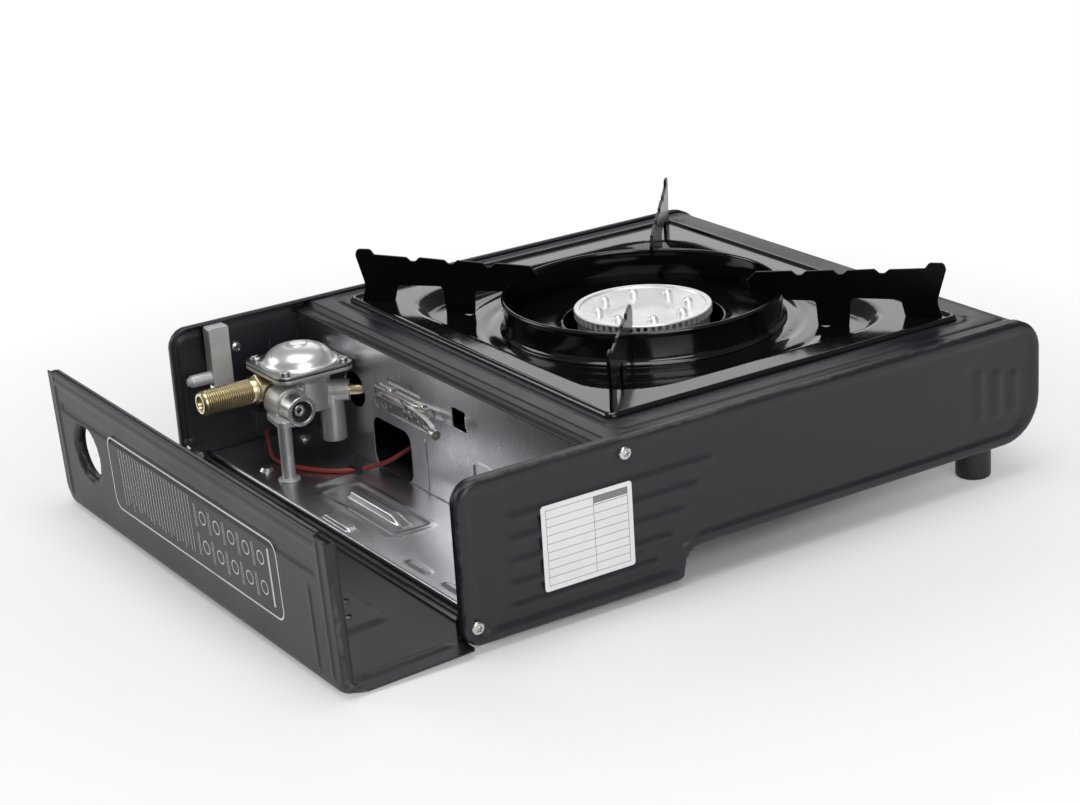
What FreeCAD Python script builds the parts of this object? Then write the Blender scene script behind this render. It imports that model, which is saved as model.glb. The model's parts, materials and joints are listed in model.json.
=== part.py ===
import FreeCAD, Part
import math
import os

from FreeCAD import Vector

# A two-part camping stove: a burner section and a cartridge bay with a hinged lid, shown open.
# While it is built, X runs from the burner section (-) to the bay (+) with 0 at the joint,
# Y from the control side (-) to the back (+), and Z up from the table.

# Body panels
sheet = 0.8
fit = 0.15
body_depth = 280.0
burner_length = 245.0
bay_length = 77.8
body_top = 76.9
burner_underside = 17.0
bay_underside = 3.0
notch_top_x = -37.5
notch_bottom_x = -34.5
notch_top_radius = 9.0
notch_bottom_radius = 3.0
top_corner_radius = 15.0
low_corner_radius = 22.0
bay_top_radius = 10.0
bay_low_radius = 8.0
flange_depth = 6.3
border_width = 6.0
press_step = 1.2

# Ribs pressed into the panels
rib_height = 0.7
rib_width = 3.2
rib_pitch = 10.1
rib_lowest = 14.8
rib_count = 5
rib_end_x = 56.0
rib_first_start_x = -21.4
rib_start_step = -7.9
end_rib_count = 3
end_rib_x = -207.4
end_rib_step = -10.8
end_rib_low = 33.0
end_rib_high = 58.0
end_rib_drop = 2.5

# Sticker on the ribs of the back panel
sticker_x = 14.7
sticker_z = 37.5
sticker_width = 46.4
sticker_height = 39.0
sticker_corner_radius = 1.5
sticker_thickness = 0.2

# Top plate, ledge and tray opening
ledge_reach = 8.0
ledge_drop = 2.95
end_wall_reach = 31.0
end_wall_overlap = 15.0
border_bead_inset = 9.5
border_bead_width = 2.4
border_bead_height = 0.5
tray_opening_margin = 5.0

# Partition and bay floor
partition_x = 4.2
floor_top = 8.0
floor_reach = 61.5
pan_lip_x = 65.4
pan_lip_height = 3.6
air_slot_y = -32.5
air_slot_z = 56.6
air_slot_length = 33.0
air_slot_height = 2.0
wide_opening_y = -34.0
wide_opening_z = 46.5
wide_opening_length = 56.0
wide_opening_height = 14.0
lead_opening_y = -47.5
lead_opening_width = 37.0
lead_opening_height = 26.0
window_y = 19.3
window_z = 54.6
window_width = 12.0
window_height = 10.0
window_tab_depth = 5.0
window_tab_height = 6.0
crease_y = -15.0
crease_z = 22.0
crease_length = 26.0
crease_width = 2.4
stamp_y = 38.0
stamp_z = 32.0
stamp_length = 18.0
stamp_height = 12.0
stamp_line = 1.6
bracket_plate_length = 66.0
bracket_plate_height = 19.2
bracket_hole_y = -5.0
bracket_hole_radius = 2.2
lip_start_y = -58.0
lip_bend_y = -24.0
lip_end_y = -9.0
lip_reach = 3.0
lip_tip_reach = 1.6
lip_z = 51.2
lip_pitch = 4.4
lip_sheet = 1.0
rivet_z = 43.2
rivet_places = (-52.0, -31.0)
rivet_radius = 2.6
lip_screw_places = (-44.0, -14.0)
lip_screw_radius = 1.4
floor_slot_x = 35.0
floor_slot_y = -14.0
floor_slot_width = 8.0
floor_slot_length = 44.0
floor_ridge_width = 25.0
floor_ridge_length = 74.0
floor_ridge_line = 2.4
cradle_x_places = (15.0, 54.5)
cradle_y_places = (60.0, 92.0)
cradle_width = 4.0
cradle_length = 18.0
floor_screw_places = ((50.5, -96.0), (14.0, -126.0))
floor_screw_height = 1.6

# Feet
foot_radius = 8.5
foot_x = -216.0
foot_y = 124.5
foot_flange_gap = 0.5
pad_radius = 7.0
pad_x = 50.0
pad_y = 118.0

# Screws
screw_head_radius = 4.0
screw_head_height = 2.2
screw_shank_radius = 2.0
screw_length = 9.0
panel_screw_x = -6.2
panel_screw_z = 69.9

# Lid and its hinge
hinge_x = 72.0
hinge_z = 11.9
hinge_clearance = 0.06
lid_open_angle = 92.4
lid_side_gap = 2.4
lid_top_gap = 0.2
lid_free_x = 9.0
lid_bend_radius = 5.0
lid_lip_depth = 3.0
lid_side_foot = 14.5
lid_tongue_foot = 6.8
lid_tongue_gap = 0.9
lid_end_gap = 1.4
lid_end_flange = 5.0
lid_corner_radius = 6.0
lid_ear_inset = 10.5
lid_ear_radius = 5.0
lid_ear_drop = 4.2
lid_hole_x = 44.0
lid_hole_y = -105.0
lid_hole_radius = 13.0
lid_collar_depth = 5.0
lid_groove_depth = 0.8
lid_groove_width = 5.5
lid_groove_x = 26.5
lid_groove_length = 262.0
lid_bead_width = 2.2
lid_bead_height = 0.5
lid_end_bead_y = 134.5
lid_end_bead_length = 62.0
lid_field_bead_y = 122.0
lid_field_bead_length = 38.0
lid_edge_bead_length = 264.0
lid_pad_z = 42.0
lid_pad_length = 180.0
lid_pad_height = 32.0
lid_side_bead_y = 130.0
lid_vent_radius = 2.3
lid_vent_places = ((61.0, 34.0), (76.0, 41.0))
lid_pin_hole_y = 126.0
lid_pin_hole_radius = 1.6
lid_tab_reach = 3.0

# Drip tray, ring and pan supports
burner_x = -116.0
burner_y = -2.6
tray_length = 202.0
tray_width = 236.0
tray_corner_radius = 5.0
tray_rim_width = 2.6
tray_rim_height = 1.5
recess_half_x = 86.0
recess_half_y = 100.0
recess_corner_radius = 35.0
recess_slope = 6.0
recess_depth = 5.95
tray_collar_radius = 39.6
tray_collar_height = 3.2
ring_radius = 68.5
ring_sheet = 1.0
ring_roll = 0.5
ring_height = 16.2
support_thickness = 1.6
support_inner = 52.5
support_outer = 148.5
support_rise = 24.0
support_step = 20.0
support_notch_depth = 2.0

# Burner
cap_radius = 34.0
cap_top = 78.5
cap_skirt = 4.0
cap_slot_count = 60
cap_slot_width = 1.5
cap_slot_height = 1.9
cap_port_count = 8
cap_port_radius = 2.2
cap_port_reach = 5.0
head_radius = 32.5
head_neck_radius = 26.0
head_bottom = 32.0
head_wall = 2.0
tube_axis_z = 43.0
tube_radius = 9.0
tube_wall = 1.2
tube_mouth_radius = 10.5
bracket_sheet = 1.2
bracket_width = 28.0

# Ignition
electrode_angle = 20.0
electrode_distance = 36.2
electrode_wire_radius = 0.8
electrode_tip_z = 76.2
ceramic_radius = 2.4
ceramic_low = 50.0
ceramic_high = 68.0
lead_diameter = 2.2
piezo_x = 43.0
piezo_behind_inlet = 3.5
piezo_low = 27.0
piezo_socket = 2.0
clip_height = 4.6

# Regulator
regulator_x = 26.5
regulator_y = -98.0
housing_radius = 15.0
housing_low = 36.0
flange_low = 55.5
flange_height = 2.0
flange_half = 21.0
flange_corner_radius = 6.0
dome_screw_pitch = 32.0
dome_radius = 17.0
dome_rise = 9.2
dome_sheet = 1.2
diaphragm_height = 0.6
dome_button_radius = 4.5
dome_screw_radius = 2.6
cartridge_x = 39.5
cartridge_radius = 33.3
connector_radius = 7.5
connector_bore = 5.4
connector_face_y = -73.0
connector_length = 11.0
stem_radius = 2.9
stem_bore = 1.2
seal_height = 1.6
inlet_y = -105.0
inlet_z = 47.2
inlet_radius = 6.2
inlet_bore = 3.5
inlet_tip_x = 78.6
nut_start_x = 41.0
nut_length = 7.5
nut_half_flats = 7.0
outlet_x = 14.5
outlet_y = -90.0
outlet_radius = 6.3
outlet_low = 17.5
jet_boss_radius = 5.5
jet_boss_reach = 11.0
jet_radius = 3.0
jet_reach = 26.0
post_x = 48.5
post_y = -76.0
post_radius = 3.4
post_foot_radius = 5.5

# Knob, lock lever and cartridge carrier
shaft_radius = 4.0
shaft_clearance = 0.05
stem_boss_radius = 8.0
stem_boss_reach = 21.0
knob_radius = 19.0
knob_gap = 1.6
knob_depth = 9.0
grip_height = 8.0
grip_width = 9.0
lever_x = 54.5
lever_width = 11.0
lever_depth = 7.4
lever_inner_y = -127.0
lever_low = 45.0
lever_high = 76.0
lever_arm_radius = 3.2
lever_arm_reach = 10.5
lever_arm_z = 50.0
lever_neck_width = 5.0
lever_neck_low = 55.0
lever_neck_high = 65.0
lever_travel = 18.0
lever_slot_clearance = 0.35
handle_depth = 15.0
handle_width = 9.0
handle_height = 12.0
carrier_gap = 0.3
carrier_sheet = 1.2
carrier_width = 26.0
carrier_stop_y = 127.0
carrier_stop_top = 46.0
carrier_front_y = -30.0
carrier_travel = 6.0

# Values worked out from the sizes above
back_y = body_depth / 2
panel_inner_y = back_y - sheet
field_y = back_y - press_step
field_inner_y = field_y - sheet
wrap = sheet + fit
plate_top = body_top - wrap
ledge_top = plate_top - ledge_drop
pan_bay_top = bay_underside + wrap + sheet
pan_burner_top = burner_underside + wrap + sheet
cartridge_z = floor_top + rib_height + cartridge_radius
tray_flat_top = plate_top + sheet
recess_floor = tray_flat_top - recess_depth
lid_side_x = bay_length + lid_side_gap + sheet
lid_top_z = body_top + lid_top_gap + sheet
cap_seat = cap_top - cap_skirt
knob_back_y = -(field_y + knob_gap)
lid_ear_y = back_y - lid_ear_inset
piezo_y = inlet_y - piezo_behind_inlet


def between(start, end):
    return Vector(end[0] - start[0], end[1] - start[1], 0).normalize()


def rounded_wire(corners, place):
    """A closed wire through (u, v, radius) corners, with an arc at each rounded corner."""
    edges = []
    first = None
    last = None
    for index, (u, v, radius) in enumerate(corners):
        corner = Vector(u, v, 0)
        back = between(corner, corners[index - 1])
        ahead = between(corner, corners[(index + 1) % len(corners)])
        half = back.getAngle(ahead) / 2
        reach = radius / math.tan(half) if radius > 0 else 0
        entry = corner + back * reach
        leave = corner + ahead * reach
        if last is not None and last.distanceToPoint(entry) > 1e-6:
            edges.append(Part.LineSegment(place(last), place(entry)).toShape())
        if radius > 0:
            inward = (back + ahead).normalize()
            centre = corner + inward * (radius / math.sin(half))
            middle = centre - inward * radius
            edges.append(Part.Arc(place(entry), place(middle), place(leave)).toShape())
        if first is None:
            first = entry
        last = leave
    if last.distanceToPoint(first) > 1e-6:
        edges.append(Part.LineSegment(place(last), place(first)).toShape())
    return Part.Wire(edges)


def plate(corners, axis, low, high):
    """A rounded outline carried along one axis from low to high."""
    places = {
        "x": lambda p: Vector(low, p.x, p.y),
        "y": lambda p: Vector(p.x, low, p.y),
        "z": lambda p: Vector(p.x, p.y, low),
    }
    along = {"x": Vector(1, 0, 0), "y": Vector(0, 1, 0), "z": Vector(0, 0, 1)}
    wire = rounded_wire(corners, places[axis])
    return Part.Face(wire).extrude(along[axis] * (high - low))


def rectangle(centre_u, centre_v, half_u, half_v, radius=0.0):
    signs = ((-1, -1), (1, -1), (1, 1), (-1, 1))
    return [(centre_u + a * half_u, centre_v + b * half_v, radius) for a, b in signs]


def offset_line(corners, distance, closed=False):
    """Corners moved to the left of the direction of travel, with radii that stay concentric."""
    moved = []
    count = len(corners)
    for index, (u, v, radius) in enumerate(corners):
        steps = []
        if closed or index > 0:
            steps.append(between(corners[index - 1], (u, v)))
        if closed or index < count - 1:
            steps.append(between((u, v), corners[(index + 1) % count]))
        normals = [Vector(-step.y, step.x, 0) for step in steps]
        if len(steps) == 1:
            moved.append((u + normals[0].x * distance, v + normals[0].y * distance, 0.0))
            continue
        shift = (normals[0] + normals[1]) * (distance / (1 + normals[0].dot(normals[1])))
        turn = steps[0].x * steps[1].y - steps[0].y * steps[1].x
        grown = radius - distance if turn > 0 else radius + distance
        moved.append((u + shift.x, v + shift.y, max(grown, 0.0) if radius > 0 else 0.0))
    return moved


def bent_sheet(line, thickness, axis, low, high):
    """A folded strip of sheet that follows a line, with its thickness to the left of travel."""
    other = offset_line(line, thickness)
    return plate(line + other[::-1], axis, low, high)


def box(x0, x1, y0, y1, z0, z1):
    return Part.makeBox(x1 - x0, y1 - y0, z1 - z0, Vector(x0, y0, z0))


def rod(radius, start, end):
    axis = Vector(*end) - Vector(*start)
    return Part.makeCylinder(radius, axis.Length, Vector(*start), axis)


def turned(profile, centre_x, centre_y):
    """A (radius, height) outline turned about a vertical axis."""
    wire = rounded_wire(profile, lambda p: Vector(p.x, 0, p.y))
    solid = Part.Face(wire).revolve(Vector(0, 0, 0), Vector(0, 0, 1), 360)
    solid.translate(Vector(centre_x, centre_y, 0))
    return solid


def mirrored(shape):
    return shape.mirror(Vector(0, 0, 0), Vector(0, 1, 0))


def pair(shape):
    """The same piece at the back and at the front."""
    return Part.makeCompound([shape, mirrored(shape)])


def panel_outline():
    left = -burner_length
    return [
        (left, burner_underside, low_corner_radius),
        (notch_top_x, burner_underside, notch_top_radius),
        (notch_bottom_x, bay_underside, notch_bottom_radius),
        (bay_length, bay_underside, bay_low_radius),
        (bay_length, body_top, bay_top_radius),
        (left, body_top, top_corner_radius),
    ]


def pressed_panel():
    """A dished end panel: a raised border, a lower field and a flange turned inwards."""
    outline = panel_outline()
    flange_y = back_y - flange_depth
    field_line = offset_line(outline, border_width, closed=True)
    hollow_line = offset_line(outline, sheet, closed=True)
    backing_line = offset_line(outline, border_width - sheet, closed=True)
    blank = plate(outline, "y", flange_y, back_y)
    field = plate(field_line, "y", field_y, back_y)
    hollow = plate(hollow_line, "y", flange_y, panel_inner_y)
    backing = plate(backing_line, "y", field_inner_y, panel_inner_y)
    panel = blank.cut(field).cut(hollow.cut(backing))
    foot_relief_radius = foot_radius + foot_flange_gap
    relief = rod(foot_relief_radius, (foot_x, foot_y, 0), (foot_x, foot_y, pan_burner_top))
    relief = relief.common(box(-burner_length, 0, 0, panel_inner_y, 0, body_top))
    panel = panel.cut(relief)
    for x, z in ((hinge_x, hinge_z), (panel_screw_x, panel_screw_z)):
        panel = panel.cut(rod(screw_shank_radius + fit, (x, field_inner_y, z), (x, back_y, z)))
    return panel


def upright_ribs():
    ribs = []
    for index in range(end_rib_count):
        x = end_rib_x + index * end_rib_step
        high = end_rib_high - index * end_rib_drop
        middle = (high + end_rib_low) / 2
        outline = rectangle(x, middle, rib_width / 2, (high - end_rib_low) / 2, rib_width / 2)
        ribs.append(plate(outline, "y", field_y, field_y + rib_height))
    return ribs


def long_ribs():
    ribs = []
    for index in range(rib_count):
        start = rib_first_start_x + index * rib_start_step
        z = rib_lowest + index * rib_pitch
        middle = (start + rib_end_x) / 2
        outline = rectangle(middle, z, (rib_end_x - start) / 2, rib_width / 2, rib_width / 2)
        ribs.append(plate(outline, "y", field_y, field_y + rib_height))
    return ribs


def make_back_panel():
    return pressed_panel().fuse(upright_ribs() + long_ribs())


def make_front_panel():
    panel = mirrored(pressed_panel().fuse(upright_ribs()))
    shaft_hole = rod(shaft_radius + 1.0, (regulator_x, -back_y, cartridge_z),
                     (regulator_x, -field_inner_y, cartridge_z))
    slot_low = lever_neck_low - lever_travel - lever_slot_clearance
    slot_high = lever_neck_high + lever_slot_clearance
    slot_half = lever_neck_width / 2 + lever_slot_clearance
    slot = plate(rectangle(lever_x, (slot_low + slot_high) / 2, slot_half,
                           (slot_high - slot_low) / 2, slot_half - 0.01),
                 "y", -back_y, -field_inner_y)
    return panel.cut(shaft_hole).cut(slot)


def make_rating_sticker():
    outline = rectangle(sticker_x, sticker_z, sticker_width / 2, sticker_height / 2,
                        sticker_corner_radius)
    return plate(outline, "y", field_y + rib_height, field_y + rib_height + sticker_thickness)


def make_top_plate():
    reach_y = panel_inner_y - fit
    left = -burner_length + wrap
    line = [
        (ledge_reach, ledge_top, 0),
        (1.2, ledge_top, 1.0),
        (-0.6, plate_top, 1.0),
        (left, plate_top, top_corner_radius - wrap),
        (left, body_top - end_wall_reach, 0),
    ]
    top = bent_sheet(line, sheet, "y", -reach_y, reach_y)
    opening = rectangle(burner_x, burner_y, tray_length / 2 - tray_opening_margin,
                        tray_width / 2 - tray_opening_margin, tray_corner_radius)
    top = top.cut(plate(opening, "z", plate_top - 2 * sheet, body_top))
    bead_low = -burner_length + border_bead_inset
    bead_high = -border_bead_inset
    bead_half_y = back_y - border_bead_inset
    bead_line = rectangle((bead_low + bead_high) / 2, 0, (bead_high - bead_low) / 2, bead_half_y, 7.0)
    bead = plate(bead_line, "z", plate_top, plate_top + border_bead_height)
    inner_line = offset_line(bead_line, border_bead_width, closed=True)
    bead = bead.cut(plate(inner_line, "z", plate_top, plate_top + border_bead_height))
    return top.fuse(bead.cut(tray_footprint(fit)))


def tray_footprint(clearance):
    outline = rectangle(burner_x, burner_y, tray_length / 2 + clearance,
                        tray_width / 2 + clearance, tray_corner_radius + clearance)
    return plate(outline, "z", plate_top, body_top)


def make_base_pan():
    reach_y = panel_inner_y - fit
    left = -burner_length + sheet
    lip_x = pan_lip_x + wrap
    outer = [
        (left, body_top - end_wall_overlap, 0),
        (left, burner_underside, low_corner_radius - sheet),
        (notch_top_x, burner_underside, notch_top_radius),
        (notch_bottom_x, bay_underside, notch_bottom_radius),
        (lip_x, bay_underside, 2.5),
        (lip_x, bay_underside + pan_lip_height, 0),
    ]
    return bent_sheet(offset_line(outer, wrap), sheet, "y", -reach_y, reach_y)


def make_partition_wall():
    reach_y = field_inner_y - fit
    face_x = partition_x + sheet
    low = pan_bay_top
    high = ledge_top - sheet
    wall = box(partition_x, face_x, -reach_y, reach_y, low, high)
    cuts = [
        rectangle(air_slot_y, air_slot_z, air_slot_length / 2, air_slot_height / 2, air_slot_height / 2),
        rectangle(wide_opening_y, wide_opening_z, wide_opening_length / 2, wide_opening_height / 2, 4.0),
        rectangle(lead_opening_y, floor_top + lead_opening_height / 2,
                  lead_opening_width / 2, lead_opening_height / 2, 6.0),
        rectangle(window_y, window_z, window_width / 2, window_height / 2, 0.8),
    ]
    for outline in cuts:
        wall = wall.cut(plate(outline, "x", partition_x, face_x))
    jet_start, jet_end, _ = jet_line(0.0, 30.0)
    wall = wall.cut(rod(tube_radius, jet_start, jet_end))
    crease = rectangle(crease_y, crease_z, crease_width / 2, crease_length / 2, crease_width / 2)
    stamp = rectangle(stamp_y, stamp_z, stamp_length / 2, stamp_height / 2, 3.0)
    stamp_hole = offset_line(stamp, stamp_line, closed=True)
    wall = wall.fuse([
        plate(crease, "x", face_x, face_x + rib_height),
        plate(stamp, "x", face_x, face_x + rib_height).cut(
            plate(stamp_hole, "x", face_x, face_x + rib_height)),
    ])
    window_end = window_y + window_width / 2
    tab_low = window_z - window_tab_height / 2
    tab = box(partition_x - window_tab_depth, face_x, window_end - sheet, window_end,
              tab_low, tab_low + window_tab_height)
    return wall.fuse(tab)


def make_bay_floor():
    reach_y = panel_inner_y - fit
    line = [
        (partition_x + sheet, floor_top, 0),
        (floor_reach, floor_top, 1.4),
        (floor_reach, pan_bay_top, 0),
    ]
    floor = bent_sheet(line, -sheet, "y", -reach_y, reach_y)
    slot = rectangle(floor_slot_x, floor_slot_y, floor_slot_width / 2, floor_slot_length / 2, 1.0)
    floor = floor.cut(plate(slot, "z", floor_top - sheet, floor_top))
    notch_half = carrier_width / 2 + 1.5
    notch_front = carrier_stop_y - carrier_travel - 1.5
    floor = floor.cut(box(cartridge_x - notch_half, cartridge_x + notch_half,
                          notch_front, reach_y, 0, floor_top))
    frame = rectangle(floor_slot_x, floor_slot_y, floor_ridge_width / 2, floor_ridge_length / 2, 5.0)
    inner = offset_line(frame, floor_ridge_line, closed=True)
    ridge = plate(frame, "z", floor_top, floor_top + rib_height)
    ridge = ridge.cut(plate(inner, "z", floor_top, floor_top + rib_height))
    cradle = [rectangle(x, y, cradle_width / 2, cradle_length / 2, cradle_width / 2)
              for x in cradle_x_places for y in cradle_y_places]
    bumps = [plate(outline, "z", floor_top, floor_top + rib_height) for outline in cradle]
    return floor.fuse([ridge] + bumps)


def make_floor_screws():
    heads = []
    for x, y in floor_screw_places:
        head = Part.makeCone(screw_head_radius, screw_head_radius * 0.7, floor_screw_height,
                             Vector(x, y, floor_top))
        heads.append(head)
    return Part.makeCompound(heads)


def make_foot_posts():
    foot = turned([(0, 0, 0), (foot_radius - 0.6, 0, 0), (foot_radius, 0.8, 0),
                   (foot_radius, burner_underside + wrap, 0), (0, burner_underside + wrap, 0)],
                  foot_x, foot_y)
    return pair(foot)


def make_bay_pads():
    pad = turned([(0, 0, 0), (pad_radius - 0.6, 0, 0), (pad_radius, 0.8, 0),
                  (pad_radius, bay_underside + wrap, 0), (0, bay_underside + wrap, 0)], pad_x, pad_y)
    return pair(pad)


def side_screw(x, z, length):
    """A pan-head screw driven in from the back, with a hexagonal socket."""
    shoulder_y = back_y + screw_head_height * 0.6
    head_y = back_y + screw_head_height
    head = rod(screw_head_radius, (x, back_y, z), (x, shoulder_y, z))
    crown = Part.makeCone(screw_head_radius, screw_head_radius * 0.7, head_y - shoulder_y,
                          Vector(x, shoulder_y, z), Vector(0, 1, 0))
    socket = Part.makePolygon([
        Vector(x + 1.7 * math.cos(k * math.pi / 3), head_y, z + 1.7 * math.sin(k * math.pi / 3))
        for k in range(7)])
    socket = Part.Face(Part.Wire(socket)).extrude(Vector(0, -1.3, 0))
    shank = rod(screw_shank_radius, (x, back_y - length, z), (x, back_y, z))
    return head.fuse([crown, shank]).cut(socket)


def make_panel_screws():
    return pair(side_screw(panel_screw_x, panel_screw_z, screw_length))


def make_hinge_screws():
    return pair(side_screw(hinge_x, hinge_z, back_y - lid_ear_y + 2.0))


def opened(shape):
    """Swings the lid from shut to lying open on the table."""
    shape.rotate(Vector(hinge_x, 0, hinge_z), Vector(0, 1, 0), lid_open_angle)
    return shape


def make_cartridge_lid():
    reach_y = back_y + lid_end_gap + sheet
    skin_line = [
        (lid_free_x, lid_top_z - lid_lip_depth, 0),
        (lid_free_x, lid_top_z, 1.4),
        (lid_side_x, lid_top_z, lid_bend_radius),
        (lid_side_x, lid_side_foot, 0),
    ]
    lid = bent_sheet(skin_line, -sheet, "y", -reach_y, reach_y)
    side_end_y = back_y - 0.8
    top_inner = lid_top_z - lid_bend_radius
    for low, high in ((side_end_y, reach_y), (-reach_y, -side_end_y)):
        lid = lid.cut(box(lid_side_x - lid_bend_radius, lid_side_x, low, high, lid_side_foot, top_inner))
    lip_end_y = back_y - flange_depth - 0.6
    lip_low = lid_top_z - lid_lip_depth
    for low, high in ((lip_end_y, reach_y), (-reach_y, -lip_end_y)):
        lid = lid.cut(box(lid_free_x, lid_free_x + 1.4, low, high, lip_low, lid_top_z - sheet))
    lid = lid.fuse([lid_end_cover(), mirrored(lid_end_cover())])
    tongue_reach = back_y - flange_depth - lid_tongue_gap
    tongue = box(lid_side_x - sheet, lid_side_x, -tongue_reach, tongue_reach, lid_tongue_foot, lid_side_foot)
    lid = lid.fuse([tongue, lid_ear(), mirrored(lid_ear())])
    off_corner, corner_wall = lid_corner()
    lid = lid.cut(off_corner).cut(mirrored(off_corner))
    lid = lid.fuse([corner_wall, mirrored(corner_wall)])
    lid = lid_pressings(lid)
    lid = lid_holes(lid)
    tab = box(lid_free_x - lid_tab_reach, lid_free_x, -reach_y, sheet - reach_y,
              lid_top_z - lid_end_flange, lid_top_z - 1.5)
    return opened(lid.fuse(tab))


def lid_end_cover():
    """The flange that closes over the outside of the end panel."""
    low_y = back_y + lid_end_gap
    corners = [
        (lid_free_x, lid_top_z - lid_end_flange, 0),
        (lid_side_x - lid_bend_radius, lid_top_z - lid_end_flange, 0),
        (lid_side_x, lid_top_z - lid_end_flange, 0),
        (lid_side_x, lid_top_z, lid_bend_radius),
        (lid_free_x, lid_top_z, 1.4),
    ]
    return plate(corners, "y", low_y, low_y + sheet)


def lid_corner():
    """What a rounded corner takes off the lid at its end, and the wall that follows the round."""
    centre_x = lid_side_x - lid_corner_radius
    centre_y = back_y + lid_end_gap + sheet - lid_corner_radius
    low = lid_top_z - lid_bend_radius
    square = box(centre_x, lid_side_x, centre_y, centre_y + lid_corner_radius, low, lid_top_z)
    off_corner = square.cut(rod(lid_corner_radius, (centre_x, centre_y, low), (centre_x, centre_y, lid_top_z)))
    wall = square.cut(off_corner)
    wall = wall.cut(rod(lid_corner_radius - sheet, (centre_x, centre_y, low), (centre_x, centre_y, lid_top_z)))
    section = [
        (lid_free_x, low, 0),
        (lid_side_x, low, 0),
        (lid_side_x, lid_top_z, lid_bend_radius),
        (lid_free_x, lid_top_z, 1.4),
    ]
    return off_corner, wall.common(plate(section, "y", centre_y, centre_y + lid_corner_radius))


def lid_ear():
    """The hinge ear that stands in from the side of the lid, inside the end panel's flange."""
    inner_x = lid_side_x - sheet
    ear_back = lid_ear_y + sheet
    arm = box(hinge_x, inner_x, lid_ear_y, ear_back, hinge_z - lid_ear_drop, hinge_z + lid_ear_radius)
    eye = rod(lid_ear_radius, (hinge_x, lid_ear_y, hinge_z), (hinge_x, ear_back, hinge_z))
    bore_radius = screw_shank_radius + hinge_clearance
    bore = rod(bore_radius, (hinge_x, lid_ear_y, hinge_z), (hinge_x, ear_back, hinge_z))
    return arm.fuse(eye).cut(bore)


def lid_pressings(lid):
    """A long groove and beads pressed in the top, and a pad and end beads in the side."""
    top_under = lid_top_z - sheet
    half_bead = lid_bead_width / 2
    groove = rectangle(lid_groove_x, 0, lid_groove_width / 2, lid_groove_length / 2, lid_groove_width / 2)
    under = offset_line(groove, -sheet, closed=True)
    lid = lid.fuse(plate(under, "z", top_under - lid_groove_depth, top_under))
    lid = lid.cut(plate(groove, "z", lid_top_z - lid_groove_depth, lid_top_z))
    beads = []
    bead_top = lid_top_z + lid_bead_height
    for x, y, half_x, half_y in lid_bead_places():
        beads.append(plate(rectangle(x, y, half_x, half_y, half_bead), "z", lid_top_z, bead_top))
    side_inner = lid_side_x - sheet
    bead_face = side_inner - lid_bead_height
    for y in (-lid_side_bead_y, lid_side_bead_y):
        line = rectangle(y, lid_pad_z, half_bead, lid_pad_height / 2, half_bead)
        beads.append(plate(line, "x", bead_face, side_inner))
    pad = rectangle(0, lid_pad_z, lid_pad_length / 2, lid_pad_height / 2, 4.0)
    beads.append(plate(pad, "x", bead_face, side_inner))
    hollow = offset_line(pad, sheet, closed=True)
    return lid.fuse(beads).cut(plate(hollow, "x", lid_side_x - lid_bead_height, lid_side_x))


def lid_bead_places():
    """Centre and half sizes of each bead on the top of the lid."""
    half_bead = lid_bead_width / 2
    end_x = (lid_free_x + lid_side_x - 4.0) / 2
    field_x = (lid_groove_x + lid_side_x + 2.0) / 2
    return [
        (end_x, -lid_end_bead_y, lid_end_bead_length / 2, half_bead),
        (end_x, lid_end_bead_y, lid_end_bead_length / 2, half_bead),
        (field_x, lid_field_bead_y, lid_field_bead_length / 2, half_bead),
        (lid_free_x + 6.0, 0, half_bead, lid_edge_bead_length / 2),
    ]


def lid_holes(lid):
    collar_low = lid_top_z - sheet - lid_collar_depth
    collar = rod(lid_hole_radius + sheet, (lid_hole_x, lid_hole_y, collar_low),
                 (lid_hole_x, lid_hole_y, lid_top_z - sheet))
    lid = lid.fuse(collar)
    lid = lid.cut(rod(lid_hole_radius, (lid_hole_x, lid_hole_y, collar_low),
                      (lid_hole_x, lid_hole_y, lid_top_z)))
    pin_x = lid_free_x + 9.0
    lid = lid.cut(rod(lid_pin_hole_radius, (pin_x, lid_pin_hole_y, lid_top_z - 2.0),
                      (pin_x, lid_pin_hole_y, lid_top_z)))
    for y, z in lid_vent_places:
        hole = rod(lid_vent_radius, (lid_side_x - 2 * sheet, y, z), (lid_side_x, y, z))
        lid = lid.cut(hole)
    return lid


def recess(half_x, half_y, radius, top, slope, low):
    """The sloping recess of the tray, between two rounded rectangles."""
    upper = rectangle(burner_x, burner_y, half_x, half_y, radius)
    lower = rectangle(burner_x, burner_y, half_x - slope, half_y - slope, radius - slope)
    wires = [
        rounded_wire(upper, lambda p: Vector(p.x, p.y, top)),
        rounded_wire(lower, lambda p: Vector(p.x, p.y, low)),
    ]
    return Part.makeLoft(wires, True, True)


def make_drip_tray():
    outline = rectangle(burner_x, burner_y, tray_length / 2, tray_width / 2, tray_corner_radius)
    tray = plate(outline, "z", plate_top, tray_flat_top)
    rim = plate(outline, "z", tray_flat_top, tray_flat_top + tray_rim_height)
    rim_inner = offset_line(outline, tray_rim_width, closed=True)
    rim = rim.cut(plate(rim_inner, "z", tray_flat_top, tray_flat_top + tray_rim_height))
    tray = tray.fuse(rim)
    tray = tray.fuse(recess(recess_half_x + sheet, recess_half_y + sheet, recess_corner_radius + sheet,
                            plate_top, recess_slope, recess_floor - sheet))
    tray = tray.cut(recess(recess_half_x, recess_half_y, recess_corner_radius,
                           tray_flat_top, recess_slope, recess_floor))
    collar_top = recess_floor + tray_collar_height
    collar = rod(tray_collar_radius + sheet, (burner_x, burner_y, recess_floor),
                 (burner_x, burner_y, collar_top))
    tray = tray.fuse(collar)
    return tray.cut(rod(tray_collar_radius, (burner_x, burner_y, recess_floor - 2 * sheet),
                        (burner_x, burner_y, collar_top)))


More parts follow.
